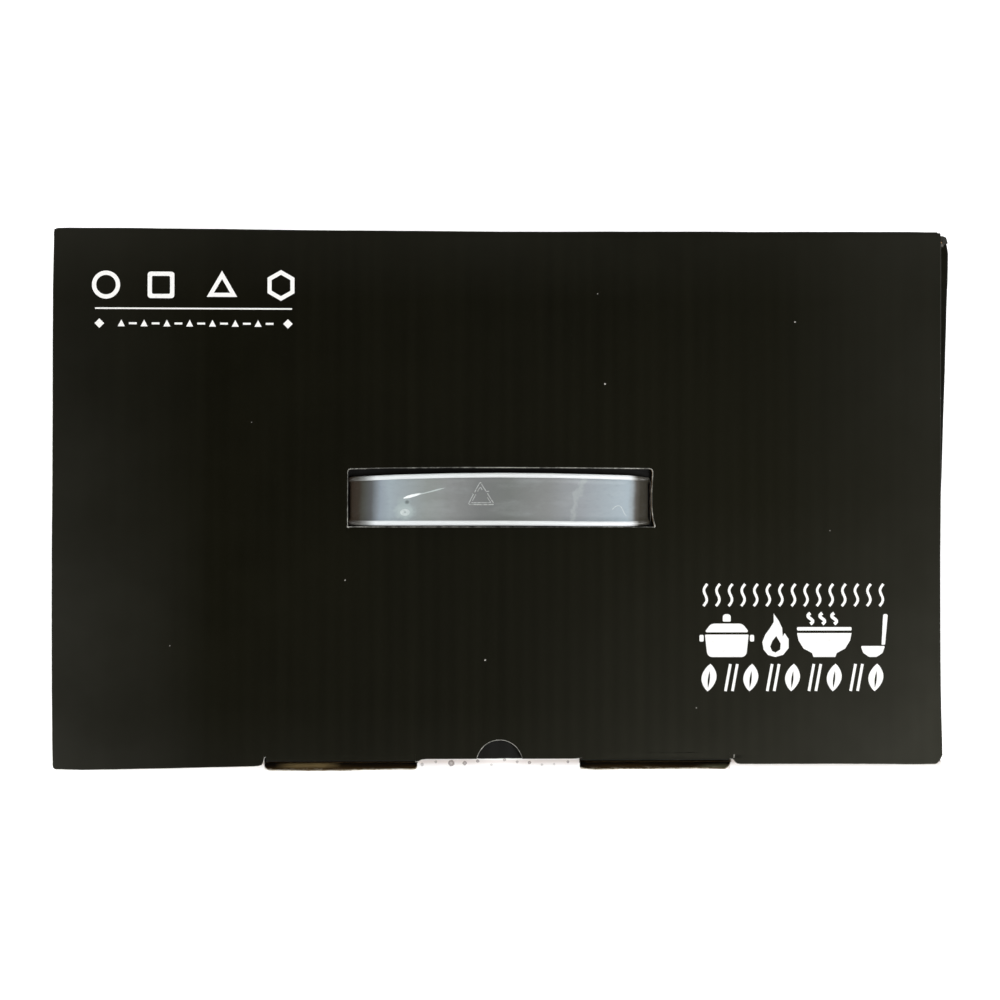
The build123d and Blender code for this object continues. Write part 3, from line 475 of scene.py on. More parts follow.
def flute(P, w0, w1, s0, s1, along, top=-LINER, bot=-2.6, pitch=6.5, thick=0.28, phase=0.0):
    """Closed wavy sheet. along is the direction of the tubes, 'u' or 'v'."""
    bm = bmesh.new()
    n = max(8, int((w1 - w0) / pitch * 10))
    mid, amp = (top + bot) / 2, (top - bot) / 2 - thick / 2 - 0.005
    rows = []
    for i in range(n + 1):
        w = w0 + (w1 - w0) * i / n
        f = 2 * math.pi / pitch
        c = mid + amp * math.cos(f * w + phase)
        slope = -amp * f * math.sin(f * w + phase)
        k = thick / 2 / math.hypot(1, slope)
        dw = -slope * k
        pair = ((w + dw, c + k), (w - dw, c - k))
        row = []
        for s in (s0, s1):
            for ww, nn in pair:
                ww = min(w1, max(w0, ww))
                row.append(bm.verts.new(P(ww, s, nn) if along == "v" else P(s, ww, nn)))
        rows.append(row)        # [s0 upper, s0 lower, s1 upper, s1 lower]
    for a, b in zip(rows, rows[1:]):
        bm.faces.new((a[0], b[0], b[2], a[2]))
        bm.faces.new((a[1], a[3], b[3], b[1]))
        bm.faces.new((a[0], a[1], b[1], b[0]))
        bm.faces.new((a[2], b[2], b[3], a[3]))
    bm.faces.new((rows[0][0], rows[0][2], rows[0][3], rows[0][1]))
    bm.faces.new((rows[-1][0], rows[-1][1], rows[-1][3], rows[-1][2]))
    bmesh.ops.recalc_face_normals(bm, faces=bm.faces[:])
    return bm


def to_mesh(bm, name):
    me = bpy.data.meshes.new(name)
    bm.to_mesh(me)
    bm.free()
    return me


def clipped(bm, P, loops):
    """The part of the wavy sheet inside the outline."""
    a = bpy.data.objects.new("tmp_a", to_mesh(bm, "tmp_a"))
    cut = bmesh.new()
    slab(cut, P, loops, 1.0, -4.0, 0, 0, 0)
    bmesh.ops.recalc_face_normals(cut, faces=cut.faces[:])
    b = bpy.data.objects.new("tmp_b", to_mesh(cut, "tmp_b"))
    for o in (a, b):
        scene.collection.objects.link(o)
    mod = a.modifiers.new("clip", "BOOLEAN")
    mod.operation, mod.object = "INTERSECT", b
    found = None
    for solver in ("MANIFOLD", "EXACT"):
        mod.solver = solver
        bpy.context.view_layer.update()
        ev = a.evaluated_get(bpy.context.evaluated_depsgraph_get())
        found = bpy.data.meshes.new_from_object(ev)
        if len(found.vertices) > 20:
            break
    bpy.data.objects.remove(a)
    bpy.data.objects.remove(b)
    return found


def finish_mesh(obj, angle=28):
    me = obj.data
    me.polygons.foreach_set("use_smooth", [True] * len(me.polygons))
    me.set_sharp_from_angle(angle=math.radians(angle))
    me.update()


def piece(name, bm, mats, body=None, node=None, angle=28, warp=None):
    if warp:
        for v in bm.verts:
            v.co = Vector(warp(v.co.x, v.co.y, v.co.z))
    bm.transform(Matrix.Scale(MM, 4))
    me = to_mesh(bm, name)
    for m in mats:
        me.materials.append(m)
    o = bpy.data.objects.new(name, me)
    scene.collection.objects.link(o)
    finish_mesh(o, angle)
    if body:
        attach(o, body)
    if node:
        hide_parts(*([node] if isinstance(node, str) else node))
    return o


def board(name, body, node, O, U, V, outline, holes=(), along="v", fold=None, cham=None, printed=BLACK_X, kraft=KRAFT_X,
          warp=None, grid=None, core=None, phase=0.0, clip=True, drop=0.2):
    """Corrugated panel: outer liner, fluted medium and inner liner, each a closed sheet. n is 0 at the outer face."""
    N = U.cross(V)
    def P(u, v, n):
        return O + U * u + V * v + N * n
    loops = [ccw(outline)] + [cw(h) for h in holes]
    is_fold = fold or (lambda q: False)
    width = cham or (lambda q: 0.26)
    def edge(q):
        return 0.0 if is_fold(q) else width(q)
    bm = bmesh.new()
    slab(bm, P, loops, 0.0, -LINER, 0, 1, 2, edge, drop)
    inner = [inset(l, lambda q: 0.0 if is_fold(q) else 0.1) for l in loops]
    slab(bm, P, inner, -2.6, -B, 2, 2, 2, lambda q: 0.0 if is_fold(q) else 0.05, -0.0)
    us, vs = [p[0] for p in loops[0]], [p[1] for p in loops[0]]
    short = [inset(l, lambda q: 0.22) for l in loops]
    if clip:
        if along == "v":
            fl = flute(P, min(us) - 3, max(us) + 3, min(vs) - 2, max(vs) + 2, "v", phase=phase)
        else:
            fl = flute(P, min(vs) - 3, max(vs) + 3, min(us) - 2, max(us) + 2, "u", phase=phase)
        me = clipped(fl, P, short)
    else:
        if along == "v":
            fl = flute(P, min(us) + 0.22, max(us) - 0.22, min(vs) + 0.22, max(vs) - 0.22, "v", phase=phase)
        else:
            fl = flute(P, min(vs) + 0.22, max(vs) - 0.22, min(us) + 0.22, max(us) - 0.22, "u", phase=phase)
        me = to_mesh(fl, "tmp_fl")
    known = len(bm.faces)
    bm.from_mesh(me)
    bm.faces.ensure_lookup_table()
    for f in bm.faces[known:]:
        f.material_index = 3
    bpy.data.meshes.remove(me)
    if grid:
        for axis, values in zip((U, V), grid):
            for k in values:
                bmesh.ops.bisect_plane(bm, geom=bm.verts[:] + bm.edges[:] + bm.faces[:], plane_co=O + axis * k, plane_no=axis)
    bmesh.ops.recalc_face_normals(bm, faces=bm.faces[:])
    return piece(name, bm, [printed, core or CORE, kraft, MEDIUM], body, node, warp=warp)


def steps(a, b, n):
    return [a + (b - a) * (k + 1) / (n + 1) for k in range(n)]


# ================================================================ crease strips
def crease(name, C, D1, D2, A, s0, s1, mats, body=None, blend=None, r=2.2, shift=None, step=6.0, dent=0.12, seed=0.0,
           out=0.0, end=1, ends=()):
    """The folded board of a crease. C is the crease line's corner, D1 points into one panel and D2 into the other.
    blend is (body of D2's panel, body of D1's panel); when it is given, the crease is not attached to a body and stays
    where it is built."""
    outer = [(3.0, 0.0)] + [(r - r * math.sin(t), r - r * math.cos(t)) for t in [math.radians(a) for a in (0, 11, 22, 34, 45, 56, 68, 79, 90)]] + [(0.0, 3.0)]
    inner = [(2.72, 3.0), (1.2, 1.2), (3.0, 2.72)]
    n = max(2, int(abs(s1 - s0) / step))
    bm = bmesh.new()
    rings = []
    places = sorted([s0 + (s1 - s0) * k / n for k in range(n + 1)] + [e for e in ends if s0 < e < s1])
    for s in places:
        ring = []
        for i, (a, b) in enumerate(outer + inner):
            da = db = 0.0
            if 1 < i < len(outer) - 2:
                w = dent * wobble(s * 0.045, seed, 0.3 * i) + 0.5 * dent * wobble(s * 0.21, seed + 5, 0.2 * i)
                da, db = w * 0.7 + 0.03 - out, w * 0.7 + 0.03
            p = C + A * s + D1 * (a + da) + D2 * (b + db)
            if shift:
                p = Vector(shift(p, a, b, i))
            ring.append(bm.verts.new(p))
        rings.append(ring)
    m = len(outer) + len(inner)
    for r0, r1 in zip(rings, rings[1:]):
        for i in range(m):
            j = (i + 1) % m
            f = bm.faces.new((r0[i], r0[j], r1[j], r1[i]))
            f.material_index = 0 if i < len(outer) - 1 else (2 if i in (len(outer), len(outer) + 1) else 1)
    flat = outer + inner
    for ring, up in ((rings[0], True), (rings[-1], False)):
        cap(bm, [ring], [flat], end, up)
    bmesh.ops.recalc_face_normals(bm, faces=bm.faces[:])
    o = piece(name, bm, mats, None if blend else body, None, angle=35)
    if blend:
        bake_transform(o)
    return o


# ================================================================ carton walls
V0 = Vector((0, 0, 0))
BX = [BLACK_X, CORE, KRAFT_X]
BY = [BLACK_Y, CORE, KRAFT_Y]
LX = [LIGHT_X, CORE_PALE, KRAFT_X]


def bow_front(x, y, z):
    b = 0.5 * math.sin(math.pi * min(1, max(0, (z - 3) / 186))) * math.cos(x / HALF_W * math.pi / 2)
    if x > 150:
        x -= lean(y, z) * (x - 150) / 29.2
    return (x, y + b * 0.9, z)


def bow_back(x, y, z):
    b = 0.6 * math.sin(math.pi * min(1, max(0, (z - 3) / 190))) * math.cos(x / HALF_W * math.pi / 2)
    if x > 150:
        x -= lean(y, z) * (x - 150) / 29.2 * (1 - 0.9 * smooth(189.3, 190.6, z))
    return (x, y - b, z)


def bow_left(x, y, z):
    b = 0.5 * math.sin(math.pi * min(1, max(0, (z - 6) / 180))) * math.cos(y / 108 * math.pi / 2)
    return (x + b, y, z)


def bow_right(x, y, z):
    b = 0.4 * math.sin(math.pi * min(1, max(0, (z - 6) / 180))) * math.cos(y / 108 * math.pi / 2)
    return (x - b - lean(y, z), y, z)


gu, gv = steps(-176, 176, 21), steps(3, 190, 11)
gs = steps(-105, 105, 14)

# front panel: raw top edge at the two lock slots, crease elsewhere
front_out = [(-WI, 3), (WI, 3), (WI, 189.6), (-WI, 189.6)]
board("front_board", "root", "front_panel", Vector((0, -HALF_D, 0)), X, Z, front_out,
      fold=lambda q: True,
      printed=LIGHT_X, core=CORE_PALE, warp=bow_front, grid=(gu, gv))

back_out = [(-WI, 3), (WI, 3), (WI, 189.4), (-LID_L, 189.4), (-LID_L, 193), (-LID_R, 193), (-LID_R, 189.4), (-WI, 189.4)]
board("back_board", "root", "back_panel", Vector((0, HALF_D, 0)), -X, Z, back_out,
      fold=lambda q: abs(q.y - 3) < 0.01 or abs(abs(q.x) - WI) < 0.01 or abs(q.y - 193) < 0.01, warp=bow_back, grid=(gu, gv))

side_out = [(-105, 6.4), (105, 6.4), (105, 186.2), (-105, 186.2)]
board("left_board", "root", "left_panel", Vector((-HALF_W, 0, 0)), -Y, Z, side_out, fold=lambda q: True,
      printed=BLACK_Y, kraft=KRAFT_Y, warp=bow_left, grid=(gs, gv), clip=False)
board("right_board", "root", "right_panel", Vector((HALF_W, 0, 0)), Y, Z, side_out, fold=lambda q: True,
      printed=BLACK_Y, kraft=KRAFT_Y, warp=bow_right, grid=(gs, gv), clip=False)

board("seam_flap", "root", "glue_flap", Vector((-HALF_W + B, 0, 0)), -Y, Z, [(-105, 12), (-70, 26), (-70, 163.2), (-105, 177.2)],
      printed=KRAFT_Y, kraft=KRAFT_Y, core=KRAFT_Y, warp=bow_left, grid=((), gv))


def lean_corner(p, a, b, i):
    return (p.x - lean(p.y, p.z), p.y, p.z)


# vertical corners; the back right one is lined with grey core in place of kraft, which is painted dark there as shade
corner_z = (3.4, 189.2)
for nm, cx, cy, mats, sh in (("corner_front_left", -HALF_W, -HALF_D, [LIGHT_X, CORE_PALE, KRAFT_X], None), ("corner_back_left", -HALF_W, HALF_D, BX, None),
                             ("corner_back_right", HALF_W, HALF_D, [BLACK_X, CORE, CORE], lean_corner), ("corner_front_right", HALF_W, -HALF_D, [LIGHT_X, CORE_PALE, KRAFT_X], lean_corner)):
    D1 = -X if cx > 0 else X
    D2 = -Y if cy > 0 else Y
    crease(nm, Vector((cx, cy, 0)), D1, D2, Z, corner_z[0], corner_z[1], mats, body="root", r=1.4 if cx > 0 and cy > 0 else 2.6, shift=sh, seed=cx + cy, dent=0.18, end=0 if cy < 0 else 1)

# bottom creases
crease("crease_bottom_front", Vector((0, -HALF_D, 0)), Y, Z, X, -178.7, 178.7, LX, body="root", r=2.2, seed=3)
crease("crease_bottom_back", Vector((0, HALF_D, 0)), -Y, Z, X, -178.7, 178.7, BX, body="root", r=2.2, seed=4)
crease("crease_bottom_left", Vector((-HALF_W, 0, Z_SIDE)), X, Z, Y, -104.2, 104.2, BY, body="root", r=2.2, seed=5)
crease("crease_bottom_right", Vector((HALF_W, 0, Z_SIDE)), -X, Z, Y, -104.2, 104.2, BY, body="root", r=2.2, seed=6)

# bottom flaps
board("bottom_board_front", "root", "bottom_flap_front", V0, X, -Y, [(-178.7, 0.4), (178.7, 0.4), (178.7, 105), (-178.7, 105)],
      fold=lambda q: abs(q.y - 105) < 0.01, clip=False, printed=BLACK_X)
board("bottom_board_back", "root", "bottom_flap_back", V0, X, -Y, [(-178.7, -105), (178.7, -105), (178.7, -0.4), (-178.7, -0.4)],
      fold=lambda q: abs(q.y + 105) < 0.01, clip=False, printed=BLACK_X)
for nm, node, u0, u1 in (("bottom_board_left", "bottom_flap_left", -WI, -74.2), ("bottom_board_right", "bottom_flap_right", 74.2, WI)):
    board(nm, "root", node, Vector((0, 0, Z_SIDE)), X, -Y, [(u0, -104.2), (u1, -104.2), (u1, 104.2), (u0, 104.2)], along="u",
          fold=lambda q: abs(abs(q.x) - WI) < 0.01, clip=False, printed=KRAFT_Y, kraft=KRAFT_Y, core=KRAFT_Y)

# ================================================================ lid
NX, NY, NR = -0.87, -105.1, 9.36
dx = math.sqrt(NR * NR - (RECESS - NY) ** 2)
a0 = math.degrees(math.atan2(RECESS - NY, -dx))
a1 = math.degrees(math.atan2(RECESS - NY, dx))
notch = arc(NX, NY, NR, a0, a1, 22)
FOLD = TAB_Y + B
lid_pts = [(LID_L, 105), (LID_L, WING_L), (-98.6, WING_L), (-96.6, -106.4), (-95.5, -106.0), (-94.95, -105.4), (-94.65, -104.5), (-94.35, -103.1), (TAB1[0], -102.4), (TAB1[0], FOLD),
           (TAB1[1], FOLD), (TAB1[1], -104.4), (TAB1[1] + 0.6, -104.2), (TAB1[1] + 1.3, -103.75), (TAB1[1] + 2.4, RECESS - 0.25), (TAB1[1] + 4.2, RECESS)] + notch + [
           (TAB2[0], RECESS), (TAB2[0], FOLD), (TAB2[1], FOLD), (TAB2[1], -103.85), (92.45, -103.5), (92.95, -103.95), (93.5, -104.75), (94.2, -105.35), (95.4, WING_R),
           (LID_R - 2.9, WING_R), (LID_R - 2.05, -105.3), (LID_R - 1.4, -104.55), (LID_R - 0.75, -103.5), (LID_R, -102.0), (LID_R, 105)]
radii = [0, 1.4] + [0] * (len(lid_pts) - 2)
tick = [(92.98, -102.85), (93.14, -102.85), (93.2, -101.85), (93.04, -101.85)]
lid_out = fillet(lid_pts, radii)
window = [(-60.7, -10.5), (-61.35, -10.5), (-61.5, -10.35), (-61.53, -9.7), (-61.55, 0.0), (-61.5, 11.4), (-61.2, 12.0), (-60.6, 12.3), (-45.0, 12.7), (-20.0, 12.95), (0.0, 12.95), (30.0, 12.9), (59.4, 12.65),
          (60.2, 12.3), (60.5, 11.5), (60.4, 9.6), (60.1, 4.0), (60.1, -3.0), (60.5, -7.0), (61.0, -9.3), (61.25, -10.2), (61.1, -10.5), (60.5, -10.5)]


def lid_fold(q):
    return q.y > 104.99 or abs(q.y - FOLD) < 0.01


def lid_width(q):
    if abs(q.x - LID_L) < 0.3:
        return 0.16
    if q.y < WING_R + 0.02 and (q.x > TAB2[1] or q.x < TAB1[0]):
        return 0.14
    if abs(q.x - LID_R) < 0.3:
        return 0.26 + 0.08 * wobble(q.y * 0.05, 3)
    if WIN[0] - 1 < q.x < WIN[1] + 1 and WIN[2] - 1 < q.y < WIN[3] + 1:
        if q.y < -9.7 and (q.x < -60.8 or q.x > 60.7):
            return 0.6 if q.x < 0 else 0.42
        return 0.36 if q.y > 12 else 0.09 + 0.05 * wobble(q.x * 0.3, 5) if q.y < -10.4 else 0.26
    if 92.9 < q.x < 93.3 and q.y > -103:
        return 0.2
    if min(abs(q.x - TAB1[0]), abs(q.x - TAB1[1]), abs(q.x - TAB2[0]), abs(q.x - TAB2[1])) < 0.05:
        return 0.01
    if NX - NR - 0.5 < q.x < NX + NR + 0.5 and q.y > RECESS:
        return 0.17 + 0.07 * smooth(2, -9, q.x)
    return 0.05 if abs(q.y - RECESS) < 0.02 else 0.2


# small bends of the lid's outline, in mm: sideways along its left and right edges, and of the front edge's wings
LEFT_DX = [(-106.6, 0.15), (-105, 0.1), (-96, -0.14), (-76, -0.41), (-56, -0.55), (-36, -0.67), (-16, -0.73), (4, -0.67), (24, -0.69), (44, -0.75), (64, -0.82), (84, -0.83), (104, -0.52), (108, -0.45)]
RIGHT_DX = [(-106, -0.2), (-100, -0.17), (-92, -0.35), (-84, -0.58), (-68, -0.76), (-52, -0.73), (-36, -0.7), (-20, -0.6), (-4, -0.36), (20, -0.22), (50, -0.05), (95, 0.22), (108, 0.25)]
WING_DY = [(-178, -0.2), (-170, -0.56), (-164, -0.56), (-158, -0.46), (-151, -0.36), (-145, -0.26), (-139, -0.12), (-132, -0.04), (-126, 0.08), (-120, 0.24), (-113, 0.34), (-107, 0.46),
           (-100, 0.6), (-94.25, 0.6), (-93.9, 0.0), (92.2, 0.0), (93, 0.04), (96, 0.07), (130, 0.04), (150, -0.03), (157, -0.1), (163, -0.2), (170, -0.24), (177, -0.05)]
# and of the hinge crease
BACK_DY = [(-178, 0.1), (-176, 0.22), (-171, 0.32), (-147, 0.32), (-124, 0.12), (-100, 0.0), (-76, -0.16), (-52, -0.2), (-28, -0.24), (-4, -0.32), (20, -0.32), (44, 0.02), (68, 0.04),
           (92, 0.16), (116, 0.18), (140, 0.4), (164, 0.48), (172, 0.44), (178, 0.4)]


def lid_bow(x, y, z):
    """The lid stands a little off the flap along its free sides and settles towards the middle."""
    e = max(abs(x) / 178.0, 0) ** 3
    f = smooth(60, -106, y)
    up = 0.35 * e * f - 0.25 * (1 - (x / 178.0) ** 2) * math.sin(math.pi * min(1, max(0, (105 - y) / 210)))
    if y > 100:
        up *= (105 - y) / 5 if y < 105 else 0
    if TAB1[0] - 4 < x < TAB2[1] + 4:
        up *= smooth(-103, -88, y)
    if x > 150:
        x += (x - 150) / 27.3 * table(RIGHT_DX, y)
    elif x < -150:
        x += (-x - 150) / 28.2 * table(LEFT_DX, y)
    if y < -85 and (x < TAB1[0] or x > TAB2[1] + 0.8):
        k = smooth(-106, -99, x) * (1 if x < 0 else 0)
        y += table(WING_DY, x) * (smooth(-85, -100, y) * (1 - k) + smooth(-101.5, -103.0, y) * k)
    elif TAB1[1] < x < TAB2[0]:
        y -= 0.38 * smooth(-96, -102.5, y) * smooth(TAB1[1], TAB1[1] + 1.5, x) * smooth(TAB2[0], TAB2[0] - 0.4, x)
    elif TAB2[0] <= x < TAB2[1] + 0.8 and y < FOLD + 0.05:
        y += 0.3
    return (x, y, z + up)


board("lid_board", "lid", "lid_panel", Vector((0, 0, H)), X, Y, lid_out, [window, tick], fold=lid_fold, cham=lid_width,
      printed=BLACK_LID, warp=lid_bow, grid=(steps(-178, 177, 30), steps(-106, 105, 19)), phase=0.7)

lid_mats = [BLACK_LID, CORE, KRAFT_X]


def lid_ends(p, a, b, i):
    """The hinge crease isn't quite straight, its ends are rounded off in plan, and it follows the lid's sides."""
    x, y = p.x, p.y
    y += table(BACK_DY, x) * (1 - a / 3.0)
    if 1 < i < 9:
        d = x - LID_L
        if d < 1.7:
            y = min(y, HALF_D + 0.5 - (1.7 - math.sqrt(max(0.0, 1.7 ** 2 - (1.7 - d) ** 2))))
        d = LID_R - x
        if d < 1.5:
            y = min(y, HALF_D + 0.8 - 2.3 * (1 - d / 1.5) ** 1.2)
    if x > 150:
        x += (x - 150) / 27.3 * table(RIGHT_DX, y)
    elif x < -150:
        x += (-x - 150) / 28.2 * table(LEFT_DX, y)
    return (x, y, p.z)


crease("crease_lid", Vector((0, HALF_D, H)), -Y, -Z, X, LID_L, LID_R, lid_mats, blend=("root", "lid"), r=1.2, dent=0.12, seed=1, out=0.4, end=0, shift=lid_ends,
       ends=(LID_L + 0.15, LID_L + 0.5, LID_L + 1.0, LID_L + 1.7, LID_R - 2.2, LID_R - 1.4, LID_R - 0.7, LID_R - 0.25))
crease("crease_tab_left", Vector((0, TAB_Y, H)), Y, -Z, X, TAB1[0], TAB1[1], lid_mats, blend=("tab_left", "lid"), r=0.9, dent=0.16, seed=2, end=0)
crease("crease_tab_right", Vector((0, TAB_Y, H)), Y, -Z, X, TAB2[0], TAB2[1], lid_mats, blend=("tab_right", "lid"), r=0.9, dent=0.16, seed=7, end=0,
       shift=lambda p, a, b, i: (p.x, p.y + 0.3 * smooth(192.9, 195.0, p.z), p.z))

for nm, node, (x0, x1) in (("tab_board_left", "lock_tab_left", TAB1), ("tab_board_right", "lock_tab_right", TAB2)):
    out = fillet([(x0, 193), (x0, 191), (x0 + 3, 182), (x1 - 3, 182), (x1, 191), (x1, 193)], [0, 0, 5, 5, 0, 0])
    board(nm, nm.replace("_board", ""), node, Vector((0, TAB_Y, 0)), X, Z, out, fold=lambda q: q.y > 192.99,
          warp=lambda x, y, z: (x, y + 0.8 * smooth(186.5, 182, z) * max(0, 1 - (y - TAB_Y) / 3), z), grid=((), (183, 184, 185, 186, 187)))

# ================================================================ front board's raw top edge at the lock slots
def slot_edge(name, x0, x1, lean_in, bend, seed):
    bm = bmesh.new()
    n = int((x1 - x0) / 0.55)
    liner, pulp = [], []
    for k in range(n + 1):
        x = x0 + (x1 - x0) * k / n
        e = table(lean_in, x)
        rag = 0.12 * wobble(x * 1.1, seed) + 0.07 * wobble(x * 3.7, seed + 3)
        top = 192.25 - 0.25 * e + rag
        lean_y = 0.38 + e + table(bend, x) + 0.06 * wobble(x * 0.16, seed + 7)
        ring = [(-108, 189.6), (-107.98, 190.6), (-107.95 + 0.35 * lean_y, 191.5), (-107.95 + lean_y, top), (-107.5 + lean_y, top - 0.05), (-107.5 + 0.3 * lean_y, 191.35), (-107.56, 190.6), (-107.58, 189.6)]
        liner.append([bm.verts.new((x, y, z)) for y, z in ring])
        ridge = 0.28 * wobble(x * 0.22, seed + 11) + 0.14 * wobble(x * 0.9, seed + 13)
        f = max(0.0, 1 - e * 0.45)
        prof = [(-107.54, 189.55), (-107.5 + 0.28 * lean_y, 191.2), (-107.36 + lean_y, top - 0.22), (-107.0 + lean_y * 0.9, 191.75 + ridge * 0.5), (-106.5 + lean_y * 0.6, 191.35 + ridge),
                (-106.0 + lean_y * 0.35, 190.9 - ridge * 0.6), (-105.55 + lean_y * 0.15, 190.5 + 0.3 * wobble(x * 0.5, seed + 17)), (-105.12, 190.0 + 0.15 * wobble(x * 0.7, seed + 19)), (-105.02, 189.55)]
        prof = [(min(y, -105.0), z) for y, z in prof]
        pulp.append([bm.verts.new((x, y, z)) for y, z in prof])
    for rows, mats in ((liner, [0, 0, 0, 1, 2, 2, 2, 2]), (pulp, [3] * 9)):
        m = len(rows[0])
        for r0, r1 in zip(rows, rows[1:]):
            for i in range(m):
                f = bm.faces.new((r0[i], r1[i], r1[(i + 1) % m], r0[(i + 1) % m]))
                f.material_index = mats[i]
        for row, flip in ((rows[0], False), (rows[-1], True)):
            flat = [(v.co.y, v.co.z) for v in row]
            cap(bm, [row], [flat], mats[-1], flip)
    bmesh.ops.recalc_face_normals(bm, faces=bm.faces[:])
    return piece(name, bm, [LIGHT_X, CRUSH_TIP, KRAFT_X, CRUSH], "root", None, angle=50)


slot_edge("slot_edge_left", SLOT1[0], SLOT1[1], [(-94.6, 1.25), (-94.2, 0.75), (-93.2, 0.08), (-92.0, 0.0), (-36.4, 0.0), (-35.0, 0.15), (-34.2, 0.6), (-33.7, 1.4)],
          [(-94.6, -0.3), (-93, -0.38), (-90, -0.4), (-86, -0.48), (-80, -0.58), (-72, -0.6), (-64, -0.55), (-56, -0.36), (-48, -0.18), (-40, -0.12), (-35, -0.2), (-33.7, -0.4)], 31.0)
slot_edge("slot_edge_right", SLOT2[0], SLOT2[1], [(31.4, 1.1), (32.0, 0.75), (35.0, 0.35), (40.0, 0.05), (45.0, 0.0), (88.6, 0.0), (90.0, 0.15), (91.0, 1.0), (92.1, 2.1)],
          [(31.4, -0.6), (33, -0.64), (36, -0.6), (39, -0.48), (44, -0.3), (48, -0.14), (56, -0.2), (64, -0.16), (72, -0.08), (80, 0.02), (87, -0.12), (89.5, -0.35), (91, -0.5), (92.1, -0.3)], 47.0)

# ================================================================ handle flap
flap_pts = [(-177, -105), (SLOT1[0], -105), (SLOT1[0], SLOT_Y), (SLOT1[1], SLOT_Y), (SLOT1[1], -105), (SLOT2[0], -105), (SLOT2[0], SLOT_Y), (SLOT2[1], SLOT_Y), (SLOT2[1], -105),
            (177, -105), (177, 16), (172, 30), (-172, 30), (-177, 16)]
flap_out = fillet(flap_pts, [0, 0, 1.2, 1.2, 0, 0, 1.2, 1.2, 0, 0, 8, 10, 10, 8])


def slit(x):
    return arc(x, LEG_Y + 7.5, 1.7, 0, 180, 8) + arc(x, LEG_Y - 7.5, 1.7, 180, 360, 8)


board("flap_board", "top_flap", "handle_flap", Vector((0, 0, Z_FLAP)), X, Y, flap_out, [slit(STRAP_X - STRAP_HALF), slit(STRAP_X + STRAP_HALF)],
      fold=lambda q: abs(q.y + 105) < 0.01, printed=FLAP_TOP, grid=((), ()), phase=0.2)
for k, (x0, x1) in enumerate(((-177, SLOT1[0]), (SLOT1[1], SLOT2[0]), (SLOT2[1], 177))):
    crease("crease_front_%d" % (k + 1), Vector((0, -HALF_D, Z_FLAP)), Y, -Z, X, x0, x1, [FLAP_TOP, CORE_PALE, KRAFT_X], blend=("root", "top_flap"), r=2.3, dent=0.2, seed=11 + k, end=0,
           shift=(lambda p, a, b, i: (p.x - lean(p.y, p.z) * max(0, (p.x - 150) / 29.2) * (1 - a / 3.0), p.y, p.z)) if k == 2 else None)

# ================================================================ dust flaps
for side, sx in (("left", -1), ("right", 1)):
    pts = [(-WI, -104.2), (-175.2, -102), (-104.2, -30), (-104.2, 74), (-175.2, 102), (-WI, 104.2)]
    out = fillet(pts, [0, 0, 12, 12, 0, 0])
    if sx > 0:
        out = [(-x, y) for x, y in out]
    board("dust_board_" + side, "side_flap_" + side, "dust_flap_" + side, Vector((0, 0, Z_DUST)), X, Y, out, along="u",
          fold=lambda q: abs(abs(q.x) - WI) < 0.01, printed=BLACK_Y, kraft=KRAFT_Y)

    def side_shift(p, a, b, i):
        if i < 11:
            k = 1 - a / 3.0
        else:
            k = 1.0 if i == 11 else 0.4
        return (p.x - lean(p.y, 190) * k, p.y, p.z)
    crease("crease_side_" + side, Vector((sx * HALF_W, 0, Z_DUST)), X * -sx, -Z, Y, -104.2, 105.4 if sx < 0 else 107.4, [BLACK_SIDE, KRAFT_Y, KRAFT_Y],
           blend=("root", "side_flap_" + side), r=2.2, dent=0.2, seed=20 + sx, shift=side_shift if sx > 0 else None)

# ================================================================ carry handle
# strap tone along x, in mm and sRGB; it carries painted light: shade at both ends where the strap bends down into the
# slits, and painted reflections, bright towards the shoulders and greyer in the middle
WEB_TONE = [(-60, 43, 34, 24), (-57, 46, 38, 28), (-55.5, 60, 60, 53), (-52, 82, 84, 85), (-48.5, 136, 146, 154), (-45, 150, 161, 167), (-30, 135, 140, 137), (-20, 128, 130, 129),
            (-9, 111, 113, 112), (2, 109, 112, 109), (18, 127, 129, 128), (32, 141, 146, 150), (50.5, 160, 173, 181), (52.2, 150, 158, 162), (53.6, 84, 81, 76), (55.4, 49, 45, 35), (59, 49, 46, 37)]
RIM_TONE = [(-60, 40, 34, 27), (-57, 72, 70, 64), (-54.5, 126, 128, 126), (-50, 222, 227, 228), (0, 218, 221, 220), (50, 238, 241, 243), (52, 228, 231, 233), (53.6, 150, 150, 146), (54.7, 62, 59, 51), (59.5, 44, 41, 33)]


